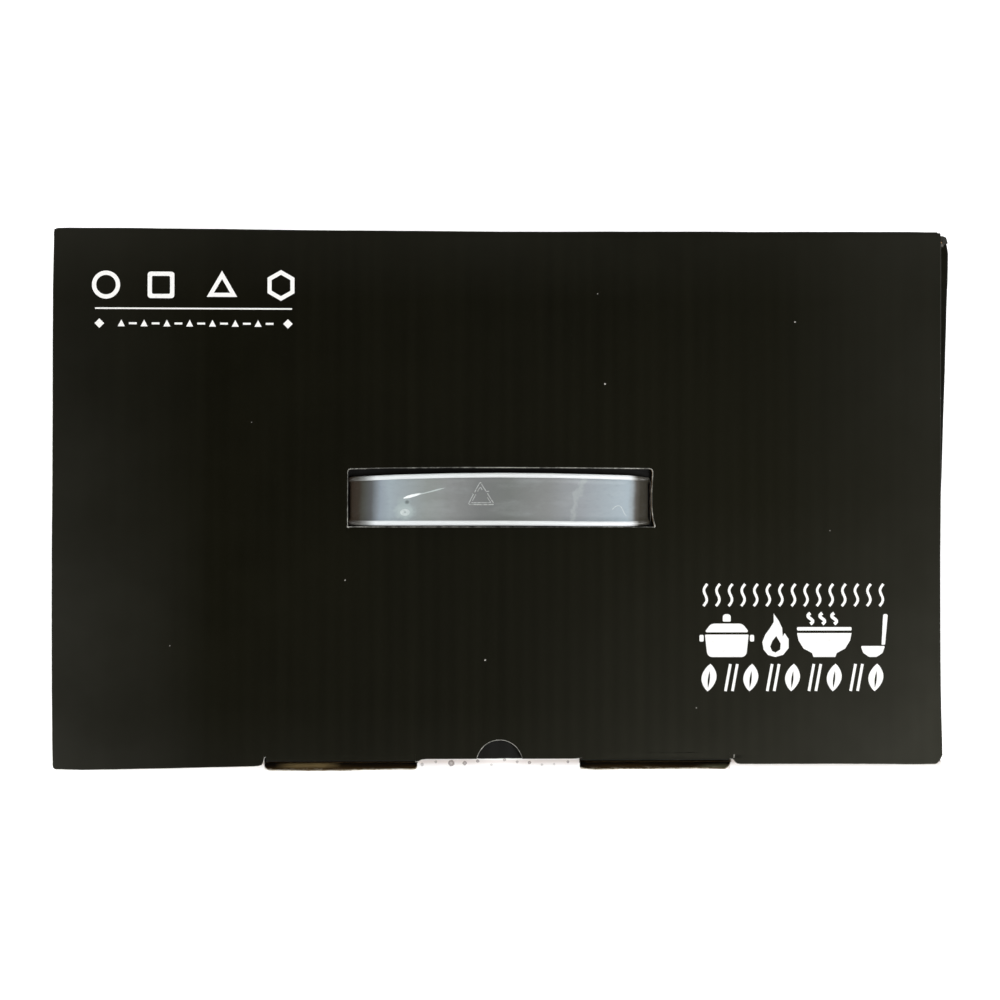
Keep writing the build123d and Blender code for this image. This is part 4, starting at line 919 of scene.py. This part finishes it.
def strap_materials():
    def tone(m, x, stops):
        a, b = stops[0][0], stops[-1][0]
        return m.ramp(m.range(x, a * MM, b * MM, 0.0, 1.0), [((k - a) / (b - a), lin(*c)) for k, *c in stops])
    m = Mat("strap_web", Roughness=0.45, IOR=1.5)
    m.s.inputs["Specular IOR Level"].default_value = 0.12
    drift = m.range(m.noise(110.0, 3.0, 0.6), 0.3, 0.7, -0.0003, 0.0003)
    xs = m.math("ADD", m.math("ADD", m.axis(0), m.range(m.axis(1), -0.01, 0.011, 0.0003, -0.0003)), drift)
    c = tone(m, xs, WEB_TONE)
    cloud = m.noise(1.0, 5.0, 0.6, m.scaled(55, 150, 60))
    inner = m.math("MULTIPLY", m.range(m.axis(0), -0.053, -0.046, 0.0, 1.0), m.range(m.axis(0), 0.048, 0.0515, 1.0, 0.0))
    c = m.mix(m.math("MULTIPLY", inner, m.range(cloud, 0.5, 0.8, 0.0, 0.22)), c, lin(178, 186, 188))
    fine = m.noise(1.0, 3.0, 0.6, m.scaled(380, 700, 380))
    c = m.mix(m.range(fine, 0.5, 0.8, 0.0, 0.12), c, lin(84, 88, 90))
    # a faint crooked line where the tone turns bluer, the edge of a painted reflection
    turn = m.math("ADD", m.axis(0), m.math("ADD", m.range(m.axis(1), -0.010, 0.0105, -0.0275, -0.0322), m.range(m.noise(150.0, 3.0, 0.6), 0.3, 0.7, -0.0016, 0.0016)))
    c = m.mix(m.range(m.math("ABSOLUTE", turn), 0.0003, 0.0013, 0.45, 0.0), c, lin(166, 172, 172))
    # a foggy patch around the gate mark and a dark spot above it
    def dist(x, y, sx, sy):
        d = m.node("VectorMath", {0: m.node("VectorMath", {0: m.co, 1: (x * MM, y * MM, 0)}, operation="SUBTRACT").outputs[0], 1: (1 / (sx * MM), 1 / (sy * MM), 0)}, operation="MULTIPLY").outputs[0]
        return m.math("ADD", m.node("VectorMath", {0: d}, operation="LENGTH").outputs["Value"], m.range(m.noise(500.0, 2.0), 0.3, 0.7, -0.15, 0.15))
    c = m.mix(m.range(dist(-38.9, -4.6, 4.0, 3.4), 0.55, 1.15, 0.85, 0.0), c, lin(168, 180, 180))
    c = m.mix(m.range(dist(-39.2, -0.8, 2.8, 2.6), 0.4, 1.2, 0.5, 0.0), c, lin(156, 169, 168))
    c = m.mix(m.range(dist(-37.95, -0.75, 1.1, 1.0), 0.3, 1.0, 0.75, 0.0), c, lin(86, 94, 94))
    # below the flap the strap is plain grey plastic, without the painted light of the tone table
    c = m.mix(m.range(m.axis(2), 0.1921, 0.1928, 1.0, 0.0), c, lin(134, 141, 144))
    m.color(c)
    m.rough(m.math("ADD", m.range(m.noise(120.0, 3.0), 0.3, 0.7, 0.3, 0.44), m.range(inner, 0.0, 1.0, 0.36, 0.0)))
    nn = m.bump(m.noise(1.0, 3.0, 0.5, m.scaled(90, 300, 90)), 0.3, 0.0003)
    m.normal(m.bump(m.noise(900.0, 2.0), 0.1, 0.00003, nn))
    rim = Mat("strap_rim", Roughness=0.4, IOR=1.5)
    rim.s.inputs["Specular IOR Level"].default_value = 0.25
    drift = rim.range(rim.noise(110.0, 3.0, 0.6), 0.3, 0.7, -0.0006, 0.0006)
    c = tone(rim, rim.math("ADD", rim.axis(0), drift), RIM_TONE)
    c = rim.mix(rim.range(rim.noise(1.0, 4.0, 0.6, rim.scaled(60, 300, 60)), 0.5, 0.75, 0.0, 0.16), c, lin(190, 194, 192))
    # below the flap the rim is plain grey plastic, without the painted light of the tone table
    c = rim.mix(rim.range(rim.axis(2), 0.1921, 0.1928, 1.0, 0.0), c, lin(146, 153, 156))
    rim.color(c)
    rim.normal(rim.bump(rim.noise(700.0, 2.0), 0.12, 0.00004))
    mark = Mat("strap_mark", Roughness=0.35, IOR=1.5)
    mark.color(mark.ramp(mark.noise(900.0, 3.0), [(0.35, lin(124, 127, 125)), (0.6, lin(168, 171, 169))]))
    gate = Mat("strap_gate", Roughness=0.3, IOR=1.5)
    gate.color(gate.ramp(gate.noise(900.0, 3.0), [(0.3, lin(180, 190, 189)), (0.7, lin(204, 212, 211))]))
    # a raised crease in the plastic, coloured as a painted highlight, duller at its left end
    crease_highlight = Mat("strap_crease_highlight", Roughness=0.5, IOR=1.5)
    crease_highlight.color(crease_highlight.mix(crease_highlight.range(crease_highlight.axis(0), -0.0335, -0.0322, 0.0, 1.0), crease_highlight.ramp(crease_highlight.noise(900.0, 3.0), [(0.3, lin(226, 232, 232)), (0.7, lin(246, 248, 248))]), lin(178, 187, 185)))
    return m.m, rim.m, mark.m, gate.m, crease_highlight.m


WEB, RIM, MARK, GATE, CREASE_HIGHLIGHT = strap_materials()


def strap_path():
    pts = [(-STRAP_HALF, 177.0), (-STRAP_HALF, 195.3), (-22, 198.9), (22, 198.9), (STRAP_HALF, 195.3), (STRAP_HALF, 177.0)]
    rr = [0, 2.8, 60, 60, 2.5, 0]
    seg = 14
    out = [pts[0]]
    for i in range(1, 5):
        a, b, c = Vector(pts[i - 1]), Vector(pts[i]), Vector(pts[i + 1])
        d1, d2 = (a - b).normalized(), (c - b).normalized()
        ang = d1.angle(d2)
        t = rr[i] / math.tan(ang / 2)
        centre = b + (d1 + d2).normalized() * (rr[i] / math.sin(ang / 2))
        s, e = b + d1 * t, b + d2 * t
        t0 = math.atan2(s.y - centre.y, s.x - centre.x)
        t1 = math.atan2(e.y - centre.y, e.x - centre.x)
        d = (t1 - t0 + math.pi) % (2 * math.pi) - math.pi
        for k in range(seg + 1):
            out.append((centre.x + rr[i] * math.cos(t0 + d * k / seg), centre.y + rr[i] * math.sin(t0 + d * k / seg)))
    out.append(pts[-1])
    # even spacing of about 1.2 mm
    dense = [Vector(out[0])]
    for q in out[1:]:
        q = Vector(q)
        gap = (q - dense[-1]).length
        parts = max(1, int(gap / 1.3))
        a = dense[-1].copy()
        for k in range(parts):
            dense.append(a + (q - a) * (k + 1) / parts)
    clean = [dense[0]]
    for q in dense[1:]:
        if (q - clean[-1]).length > 0.08:
            clean.append(q)
    return clean


STRAP_BACK = [(-61, 9.15), (-59.5, 9.4), (-57.5, 9.5), (-51.9, 9.7), (-40.8, 10.2), (-20, 10.7), (-0.9, 10.9), (20, 10.75), (39, 10.4), (51.2, 10.1), (54.5, 9.8), (58, 9.45), (59.5, 9.2)]
STRAP_FRONT = [(-61, -9.6), (-58, -10.05), (-51.9, -10.1), (-40.7, -10.15), (0, -10.1), (20, -10.2), (28, -10.33), (51, -10.33), (55, -10.05), (58, -9.7), (59.5, -9.4)]


def strap():
    path = strap_path()
    bm = bmesh.new()
    rings = []
    ds = [0.0, 0.12, 0.35, 0.7, 1.1, 1.5, 1.85, 2.3]
    for k, p in enumerate(path):
        a, b = path[max(0, k - 1)], path[min(len(path) - 1, k + 1)]
        t = (b - a).normalized()
        nrm = Vector((-t.y, t.x))
        x, z = p
        top = smooth(192.8, 193.3, z)
        y1 = table(STRAP_BACK, x + STRAP_X)
        y0 = table(STRAP_FRONT, x + STRAP_X)
        y0 = (LEG_Y - 8.0) * (1 - top) + y0 * top
        y1 = (LEG_Y + 8.0) * (1 - top) + y1 * top
        bead = top
        web = 0.85

        def half(d):
            full = web + (0.63 * bead + 0.1)
            if d < 0.7:
                return full * math.sqrt(max(0.0, 1 - ((0.7 - d) / 0.7) ** 2))
            return web + (full - web) * (1 - smooth(1.35, 2.3, d))
        w = y1 - y0
        sample = [(d, half(d)) for d in ds] + [(2.3 + (w - 4.6) * j / 9, web) for j in range(1, 9)] + [(w - d, half(d)) for d in reversed(ds)]
        ring = []
        sag = 0.0
        for j, (d, h) in enumerate(sample):
            ring.append((y0 + d, h))
        row = []
        for y, h in ring:
            wav = 0.06 * wobble(x * 0.09, y * 0.12, 2) * top
            row.append(bm.verts.new((STRAP_X + x + nrm.x * (h + wav), y, z + nrm.y * (h + wav))))
        for y, h in reversed(ring[1:-1]):
            row.append(bm.verts.new((STRAP_X + x - nrm.x * h, y, z - nrm.y * h)))
        rings.append((row, [r[0] for r in ring] + [r[0] for r in reversed(ring[1:-1])], y0, y1, z))
    n = len(rings[0][0])
    for (r0, ya, f0, f1, z0), (r1, yb, g0, g1, z1) in zip(rings, rings[1:]):
        for i in range(n):
            j = (i + 1) % n
            f = bm.faces.new((r0[i], r1[i], r1[j], r0[j]))
            d = min((ya[i] + ya[j]) / 2 - f0, f1 - (ya[i] + ya[j]) / 2)
            f.material_index = 1 if d < 1.75 else 0
    for row, *_ in (rings[0], rings[-1]):
        flat = []
        for v in row:
            flat.append((v.co.x, v.co.y))
        cap(bm, [row], [flat], 0, True)
    # barbed feet under the flap
    for sx in (-1, 1):
        prof = [(58.1, 174.8), (64.1, 174.8), (65.5, 177.1), (65.2, 177.4), (60.2, 177.4), (58.1, 177.4)]
        lo = [bm.verts.new((STRAP_X + sx * fx, LEG_Y - 8.0, fz)) for fx, fz in prof]
        hi = [bm.verts.new((STRAP_X + sx * fx, LEG_Y + 8.0, fz)) for fx, fz in prof]
        m = len(prof)
        for i in range(m):
            j = (i + 1) % m
            bm.faces.new((lo[i], lo[j], hi[j], hi[i]))
        bm.faces.new(lo)
        bm.faces.new(list(reversed(hi)))
    bmesh.ops.recalc_face_normals(bm, faces=bm.faces[:])
    return piece("strap_moulding", bm, [WEB, RIM], "strap", "carry_handle", angle=40)


strap()


PATH = strap_path()


def strap_z(x):
    x -= STRAP_X
    for a, b in zip(PATH, PATH[1:]):
        if a.x <= x <= b.x and b.x - a.x > 1e-6:
            return a.y + (b.y - a.y) * (x - a.x) / (b.x - a.x) + 0.85
    return 199.75


def relief(name, loops_list, mats, base, body, height=0.12, sink=0.1, angle=28):
    """Raised shapes on a surface. loops_list holds (outline, holes); base(x, y) is the surface height in mm."""
    bm = bmesh.new()
    for out, holes in loops_list:
        def P(u, v, n):
            return Vector((u, v, base(u, v) + n))
        slab(bm, P, [ccw(out)] + [cw(h) for h in holes], height, -sink, 0, 0, 0)
    bmesh.ops.recalc_face_normals(bm, faces=bm.faces[:])
    return piece(name, bm, mats, body, None, angle=angle)


def stroke(points, width):
    pts = [Vector(p) for p in points]
    left, right = [], []
    for i, p in enumerate(pts):
        a, b = pts[max(0, i - 1)], pts[min(len(pts) - 1, i + 1)]
        d = (b - a).normalized()
        n = Vector((-d.y, d.x)) * width / 2
        left.append((p.x + n.x, p.y + n.y))
        right.append((p.x - n.x, p.y - n.y))
    return left + list(reversed(right))


# three thin chasing arrows, a gate mark, a raised crease with a painted highlight and a scratch on the strap
arrows = []
for pts in ([(-13.5, -1.5), (-12.4, 0.6), (-11.5, 2.35), (-12.1, 2.5)], [(-11.0, 3.1), (-10.3, 4.6), (-9.1, 6.7), (-8.75, 6.95), (-8.4, 6.75)],
            [(-8.3, 6.4), (-7.4, 4.9), (-6.4, 3.4), (-5.2, 3.5)], [(-5.9, 2.7), (-5.2, 1.5), (-4.4, 0.2), (-3.5, -1.2)],
            [(-3.5, -1.75), (-6.4, -1.8), (-9.4, -1.8), (-13.3, -1.75)], [(-12.3, -1.05), (-9.6, -1.05), (-7.0, -1.05), (-4.6, -1.0), (-6.0, 1.1)],
            [(-9.9, 3.4), (-9.2, 4.6), (-8.7, 5.2), (-8.0, 4.0)], [(-11.9, -0.2), (-11.2, 1.0), (-10.6, 2.2)]):
    arrows.append((stroke(pts, 0.42), ()))
relief("strap_mark_arrows", arrows, [MARK], lambda x, y: strap_z(x), "strap", 0.1)
ring_out = [(-38.75 + 1.95 * math.cos(t * math.pi / 12), -4.9 + 1.35 * math.sin(t * math.pi / 12)) for t in range(24)]
ring_in = [(-38.75 + 0.5 * math.cos(t * math.pi / 12), -4.85 + 0.42 * math.sin(t * math.pi / 12)) for t in range(24)]
relief("strap_gate_mark", [(ring_out, [ring_in])], [GATE], lambda x, y: strap_z(x), "strap", 0.1)
# outline of the raised crease that carries the painted highlight
crease_highlight = [(-39.4, 0.55), (-37.0, 0.8), (-34.6, 1.5), (-32.9, 2.1), (-31.4, 2.45), (-28.0, 3.25), (-25.0, 4.05), (-22.5, 4.95), (-25.3, 4.5), (-28.0, 3.75), (-31.4, 2.85), (-32.8, 2.75),
         (-36.0, 2.25), (-37.8, 1.75), (-39.2, 1.0)]
relief("strap_crease_highlight", [(crease_highlight, ())], [CREASE_HIGHLIGHT], lambda x, y: strap_z(x), "strap", 0.05)
scratch = [(44.2, -3.6), (45.0, -2.7), (46.0, -2.15), (47.0, -2.1), (47.8, -2.7), (48.4, -3.8), (48.9, -5.0), (49.8, -6.3)]
relief("strap_scratch", [(stroke(scratch, 0.22), ())], [GATE], lambda x, y: strap_z(x), "strap", 0.04)

# ================================================================ marks printed on the lid
ink = Mat("ink_white", Roughness=0.42)
ink.s.inputs["Specular IOR Level"].default_value = 0.4
ink.color(ink.mix(ink.range(ink.noise(900.0, 3.0), 0.62, 0.8, 0.0, 0.5), lin(236, 235, 232), lin(176, 175, 170)))
ink.normal(ink.bump(ink.noise(1500.0, 2.0), 0.15, 0.00003))


def lid_top(x, y):
    return lid_bow(x, y, H)[2]


CAM_AT = Vector((-40.4, -27.4, 1196.0))
CAM_TURN = Euler((math.radians(1.575), math.radians(-2.27), math.radians(0.024)), "XYZ")
CAM_LENS = 90.1


def px(x, y, z=H):
    """Where the ray through pixel (x, y) of a 1000 x 1000 image meets the plane at height z, in mm."""
    f = CAM_LENS / 36 * 1000
    d = CAM_TURN.to_matrix() @ Vector(((x - 500) / f, -(y - 500) / f, -1.0))
    t = (z - CAM_AT.z) / d.z
    return (CAM_AT.x + d.x * t, CAM_AT.y + d.y * t)


def circle(cx, cy, r, n=40, ry=None):
    return [(cx + r * math.cos(2 * math.pi * k / n), cy + (ry or r) * math.sin(2 * math.pi * k / n)) for k in range(n)]


def regular(cx, cy, r, n, turn=0.0):
    return [(cx + r * math.cos(turn + 2 * math.pi * k / n), cy + r * math.sin(turn + 2 * math.pi * k / n)) for k in range(n)]


top_marks = []
ty = (px(190, 270)[1] + px(190, 300)[1]) / 2
for k, gx in enumerate((106, 161, 222, 281)):
    gxm = px(gx, 290)[0]
    if k == 0:
        top_marks.append((circle(gxm, ty, 5.6), [circle(gxm, ty, 3.9)]))
    elif k == 1:
        sq, sq_in = [(-5.3, -5.3), (5.3, -5.3), (5.3, 5.3), (-5.3, 5.3)], [(-3.6, -3.6), (3.6, -3.6), (3.6, 3.6), (-3.6, 3.6)]
        top_marks.append((fillet([(gxm + a, ty + b) for a, b in sq], [1.2] * 4), [fillet([(gxm + a, ty + b) for a, b in sq_in], [0.6] * 4)]))
    elif k == 2:
        top_marks.append((regular(gxm, ty - 1.2, 7.0, 3, math.pi / 2), [regular(gxm, ty - 1.2, 3.7, 3, math.pi / 2)]))
    else:
        top_marks.append((regular(gxm, ty, 6.2, 6, math.pi / 6), [regular(gxm, ty, 4.3, 6, math.pi / 6)]))
rule_y = px(190, 308.5)[1]
top_marks.append(([(px(95, 308)[0], rule_y - 0.3), (px(292, 308)[0], rule_y - 0.3), (px(292, 308)[0], rule_y + 0.3), (px(95, 308)[0], rule_y + 0.3)], ()))
row_y = px(190, 323.5)[1]
for gx in (99.5, 288):
    x0 = px(gx, 290)[0]
    top_marks.append(([(x0 - 1.9, row_y), (x0, row_y - 1.9), (x0 + 1.9, row_y), (x0, row_y + 1.9)], ()))
x = 117.0
k = 0
while x < 270:
    x0 = px(x, 323)[0]
    if k % 2:
        top_marks.append(([(x0 + 0.2, row_y - 0.4), (x0 + 3.3, row_y - 0.4), (x0 + 3.3, row_y + 0.4), (x0 + 0.2, row_y + 0.4)], ()))
    else:
        top_marks.append(([(x0 + 0.3, row_y - 1.2), (x0 + 1.7, row_y + 1.5), (x0 + 3.1, row_y - 1.2)], ()))
    x += 11.4
    k += 1
relief("lid_marks_corner", top_marks, [ink.m], lid_top, "lid", 0.05, 0.12)

block = []
bx0, bx1 = px(699, 640)[0], px(888, 640)[0]
# thin row above: rising curls of steam
y0, y1 = px(790, 606)[1], px(790, 584)[1]
for k in range(15):
    xx = bx0 + 1.8 + (bx1 - bx0 - 5.2) * k / 14
    pts = [(xx + 1.6 * t + 0.95 * math.sin(2 * math.pi * t), y0 + (y1 - y0) * t) for t in [j / 12 for j in range(13)]]
    block.append((stroke(pts, 1.05), ()))
# bold row: pot, flame, bowl, ladle
y0, y1 = px(790, 657)[1], px(790, 613)[1]
hh = y1 - y0
def shape(pts, ox, rr=None):
    pts = [(ox + a, y0 + b) for a, b in pts]
    return fillet(pts, rr) if rr else pts
ox = bx0 + 0.2
block.append((shape([(3.2, 0), (18.8, 0), (19.8, 9.0), (2.2, 9.0)], ox, [2.2, 2.2, 0.3, 0.3]), ()))
block.append((shape([(0, 6.2), (1.7, 6.2), (1.7, 8.9), (0, 8.9)], ox, [0.5] * 4), ()))
block.append((shape([(20.3, 6.2), (22.0, 6.2), (22.0, 8.9), (20.3, 8.9)], ox, [0.5] * 4), ()))
block.append((shape([(2.0, 9.9), (20.0, 9.9), (17.4, 13.4), (4.6, 13.4)], ox, [0.5, 0.5, 3.0, 3.0]), ()))
block.append((shape([(9.4, 14.2), (12.6, 14.2), (12.6, 17.2), (9.4, 17.2)], ox, [0.4, 0.4, 1.2, 1.2]), ()))
ox = bx0 + 25.5
flame = [(5.2, 0.0), (8.4, 0.9), (10.6, 3.6), (10.6, 7.2), (9.0, 9.6), (8.2, 8.2), (8.0, 11.6), (6.6, 14.6), (4.6, 17.4), (4.6, 14.0), (3.0, 11.4), (1.2, 9.0), (0.0, 6.0), (0.5, 3.0), (2.3, 0.8)]
block.append((shape(flame, ox), [shape([(5.3, 1.8), (7.2, 3.0), (7.4, 5.4), (5.6, 8.4), (4.0, 6.4), (3.2, 4.2), (3.9, 2.4)], ox)]))
ox = bx0 + 39.5
bowl = [(0.0, 9.6), (0.6, 6.6), (2.6, 3.4), (6.0, 1.6), (6.6, 0.0), (15.4, 0.0), (16.0, 1.6), (19.4, 3.4), (21.4, 6.6), (22.0, 9.6)]
block.append((shape(bowl, ox), ()))
block.append((shape([(0.0, 10.6), (22.0, 10.6), (22.0, 12.0), (0.0, 12.0)], ox, [0.4] * 4), ()))
for dx_ in (5.4, 10.2, 15.0):
    pts = [(ox + dx_ + 1.0 * math.sin(2 * math.pi * t), y0 + 13.2 + 4.4 * t) for t in [j / 10 for j in range(11)]]
    block.append((stroke(pts, 1.3), ()))
ox = bx0 + 64.6
block.append((shape([(0.6, 4.4), (1.6, 1.6), (4.0, 0.0), (7.0, 0.0), (9.4, 1.6), (10.4, 4.4)], ox, [0.4, 1.4, 1.4, 1.4, 1.4, 0.4]), ()))
block.append((shape([(9.0, 4.9), (10.4, 4.9), (11.6, 17.2), (9.7, 17.2)], ox, [0.2, 0.2, 0.7, 0.7]), ()))
# thin row below: leaves and strokes
y0, y1 = px(790, 692)[1], px(790, 663)[1]
h3 = y1 - y0
for k in range(9):
    xx = bx0 + 0.6 + (bx1 - bx0 - 9.0) * k / 8
    if k % 2 == 0:
        leaf = [(xx + 3.4 + (1.15 * (t - 0.5)) + 3.0 * math.sin(math.pi * t) ** 0.8 * sd, y0 + 0.3 + (h3 - 0.6) * t) for sd, ts in ((1, [j / 14 for j in range(15)]), (-1, [1 - j / 14 for j in range(1, 14)])) for t in ts]
        vein = [(xx + 3.4 + (1.15 * (t - 0.5)) + 0.42 * math.sin(math.pi * (t - 0.12) / 0.62) * sd, y0 + 0.3 + (h3 - 0.6) * t) for sd, ts in ((1, [0.12 + 0.62 * j / 8 for j in range(9)]), (-1, [0.12 + 0.62 * (1 - j / 8) for j in range(1, 8)])) for t in ts]
        block.append((leaf, [vein]))
    else:
        block.append((stroke([(xx + 1.6, y0 + 0.4), (xx + 3.6, y1 - 0.4)], 1.1), ()))
        block.append((stroke([(xx + 4.4, y0 + 0.4), (xx + 6.4, y1 - 0.4)], 1.1), ()))
relief("lid_marks_block", block, [ink.m], lid_top, "lid", 0.05, 0.12)

# ================================================================ packing and pot: materials for the CAD nodes
def simple(name, light, dark, scale, rough=(0.4, 0.5), bump=None, metallic=0.0, spec=0.5, vec=None, **more):
    m = Mat(name, Metallic=metallic)
    m.s.inputs["Specular IOR Level"].default_value = spec
    for k, v in more.items():
        m.s.inputs[k.replace("_", " ")].default_value = v
    n = m.noise(scale, 4.0, 0.6, m.scaled(*vec) if vec else None)
    m.color(m.ramp(n, [(0.3, lin(*dark)), (0.7, lin(*light))]))
    m.rough(m.range(m.noise(scale * 0.7, 3.0), 0.3, 0.7, *rough))
    if bump:
        nrm = None
        for s, k, d in bump:
            nrm = m.bump(m.noise(s, 3.0, 0.6), k, d, nrm)
        m.normal(nrm)
    return m.m


PULP = simple("pulp", (158, 153, 143), (118, 113, 104), 180.0, (0.86, 0.95), [(90.0, 0.6, 0.0012), (650.0, 0.7, 0.0004), (2400.0, 0.4, 0.0001)], spec=0.15)
RUBBER = simple("rubber", (44, 44, 44), (26, 26, 26), 300.0, (0.7, 0.85), [(1800.0, 0.4, 0.00006)], spec=0.3)
CREAM = simple("cream_plastic", (232, 226, 210), (222, 214, 196), 24.0, (0.42, 0.5), [(1600.0, 0.35, 0.00005)])
INLET = simple("black_plastic", (30, 30, 30), (16, 16, 16), 60.0, (0.4, 0.55), [(1500.0, 0.3, 0.00005)])
KNOB = simple("knob_plastic_gloss", (34, 34, 34), (18, 18, 18), 40.0, (0.16, 0.26), [(300.0, 0.06, 0.00004)], Coat_Weight=0.4)
ZINC = simple("zinc_steel", (196, 196, 190), (150, 150, 146), 420.0, (0.28, 0.4), [(1200.0, 0.2, 0.00003)], metallic=1.0)
BRASS = simple("contact_metal", (214, 196, 140), (182, 160, 104), 300.0, (0.22, 0.34), [(900.0, 0.15, 0.00003)], metallic=1.0)
SHIELD = simple("galvanised", (190, 193, 192), (150, 154, 154), 45.0, (0.3, 0.45), [(60.0, 0.2, 0.0001)], metallic=1.0)
ALU = simple("cast_aluminium", (196, 197, 196), (160, 161, 160), 260.0, (0.42, 0.6), [(520.0, 0.5, 0.0002)], metallic=1.0)
SAGE = simple("sage_paint", (142, 166, 148), (136, 159, 141), 20.0, (0.24, 0.34), [(420.0, 0.1, 0.00008)], Coat_Weight=0.3)
LENS = simple("lens_amber", (220, 70, 20), (170, 40, 10), 200.0, (0.1, 0.2), [(500.0, 0.1, 0.00003)], Transmission_Weight=0.4)
VENT = simple("silicone_grey", (120, 120, 117), (96, 96, 94), 200.0, (0.5, 0.65), [(1400.0, 0.25, 0.00004)])
GLUE = simple("hot_melt_amber", (228, 208, 158), (206, 180, 122), 120.0, (0.2, 0.35), [(200.0, 0.4, 0.0003)], Subsurface_Weight=0.2)

spun = Mat("spun_steel", Metallic=1.0)
r = spun.node("VectorMath", {0: spun.node("VectorMath", {0: spun.co, 1: (-0.07, 0, 0)}, operation="SUBTRACT").outputs[0], 1: (1, 1, 0)}, operation="MULTIPLY").outputs[0]
rad = spun.node("VectorMath", {0: r}, operation="LENGTH").outputs["Value"]
ringv = spun.node("CombineXYZ", {0: rad, 2: spun.math("MULTIPLY", spun.axis(2), 1.0)}).outputs[0]
rings_n = spun.node("TexNoise", {"Vector": ringv, "Scale": 2600.0, "Detail": 3.0}).outputs["Fac"]
spun.color(spun.ramp(rings_n, [(0.3, lin(178, 178, 174)), (0.7, lin(214, 214, 211))]))
spun.rough(spun.range(rings_n, 0.3, 0.7, 0.22, 0.36))
spun.normal(spun.bump(rings_n, 0.12, 0.00003))
SPUN = spun.m

glass = Mat("tempered_glass", Roughness=0.03, IOR=1.5)
glass.s.inputs["Transmission Weight"].default_value = 1.0
glass.color(glass.ramp(glass.noise(12.0), [(0.3, (0.90, 0.95, 0.93, 1)), (0.7, (0.94, 0.97, 0.96, 1))]))
glass.rough(glass.range(glass.noise(60.0, 4.0), 0.35, 0.75, 0.015, 0.07))
GLASS = glass.m

looks = {
    "glue_beads": GLUE, "lower_tray": PULP, "upper_tray": PULP, "rubber_feet": RUBBER, "bottom_cover": CREAM, "bottom_screws": ZINC, "base_housing": CREAM,
    "power_inlet": INLET, "inlet_pins": BRASS, "heat_shield": SHIELD, "plate_spacers": ZINC, "heating_plate": ALU, "heating_element": ALU,
    "thermostat": SHIELD, "thermal_fuse": ZINC, "outer_shell": SAGE, "inner_pot": SPUN, "inner_pot_floor": SPUN, "grip_lower": CREAM, "grip_upper": CREAM, "grip_screws": ZINC,
    "mounting_screws": ZINC, "rotary_switch": INLET, "knob_shaft": ZINC, "control_knob": KNOB, "indicator_lens": LENS, "lid_glass": GLASS,
    "lid_rim_band": SPUN, "steam_vent": VENT, "knob_collar": SPUN, "lid_knob": CREAM, "lid_knob_screw": ZINC,
}
soft_edge = {"lower_tray": 0.9, "upper_tray": 0.9, "rubber_feet": 0.4, "base_housing": 0.5, "bottom_cover": 0.4, "grip_lower": 0.6, "grip_upper": 0.6, "control_knob": 0.35,
             "lid_knob": 0.5, "power_inlet": 0.3, "indicator_lens": 0.25, "outer_shell": 0.4}
for name, material in looks.items():
    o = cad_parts.get(name)
    if o is None:
        continue
    o.data.materials.clear()
    o.data.materials.append(material)
    if name in soft_edge:
        w = o.modifiers.new("weld", "WELD")
        w.merge_threshold = 0.00002
        b = o.modifiers.new("edge", "BEVEL")
        b.width = soft_edge[name] * MM
        b.segments = 2
        b.limit_method = "ANGLE"
        b.angle_limit = math.radians(38)
        b.use_clamp_overlap = True

# ================================================================ floor, light and camera
floor_mesh = bpy.data.meshes.new("floor")
floor_mesh.from_pydata([(-4, -4, -0.0006), (4, -4, -0.0006), (4, 4, -0.0006), (-4, 4, -0.0006)], [], [(0, 1, 2, 3)])
floor = bpy.data.objects.new("floor", floor_mesh)
scene.collection.objects.link(floor)
fm = Mat("floor_white", Roughness=0.9)
fm.s.inputs["Specular IOR Level"].default_value = 0.1
fm.color(fm.ramp(fm.noise(3.0), [(0.3, (0.86, 0.86, 0.86, 1)), (0.7, (0.88, 0.88, 0.88, 1))]))
fm.s.inputs["Emission Color"].default_value = (1, 1, 1, 1)
fm.s.inputs["Emission Strength"].default_value = 0.55
floor_mesh.materials.append(fm.m)


def softbox(name, at, to, size, power, size_y=None):
    d = bpy.data.lights.new(name, "AREA")
    d.shape = "RECTANGLE"
    d.size, d.size_y = size, size_y or size
    d.energy = power
    o = bpy.data.objects.new(name, d)
    o.location = at
    o.rotation_euler = (Vector(to) - Vector(at)).to_track_quat("-Z", "Y").to_euler()
    scene.collection.objects.link(o)
    return o


softbox("left", (-1.7, 0.1, 1.35), (0, 0, 0.1), 1.3, 24, 1.6)
softbox("right", (1.8, -0.2, 1.3), (0, 0, 0.1), 1.2, 20, 1.5)
softbox("front", (0.0, -1.9, 1.2), (0, 0, 0.1), 1.8, 22, 1.0)
softbox("back", (0.1, 1.9, 1.4), (0, 0, 0.1), 1.8, 20, 1.0)
softbox("sheen", (0.85, -0.55, 2.0), (0.15, -0.1, 0.19), 0.75, 60, 0.75)

bpy.data.objects["sheen"].visible_diffuse = False

world = bpy.data.worlds.new("world")
scene.world = world
world.use_nodes = True
world.node_tree.nodes["Background"].inputs["Color"].default_value = (1, 1, 1, 1)
world.node_tree.nodes["Background"].inputs["Strength"].default_value = 0.28

cam = bpy.data.cameras.new("camera")
cam.sensor_width = 36
cam.lens = CAM_LENS
cam_o = bpy.data.objects.new("camera", cam)
cam_o.location = CAM_AT * MM
cam_o.rotation_euler = CAM_TURN
scene.collection.objects.link(cam_o)
scene.camera = cam_o
scene.view_settings.view_transform = "Standard"
scene.view_settings.look = "None"
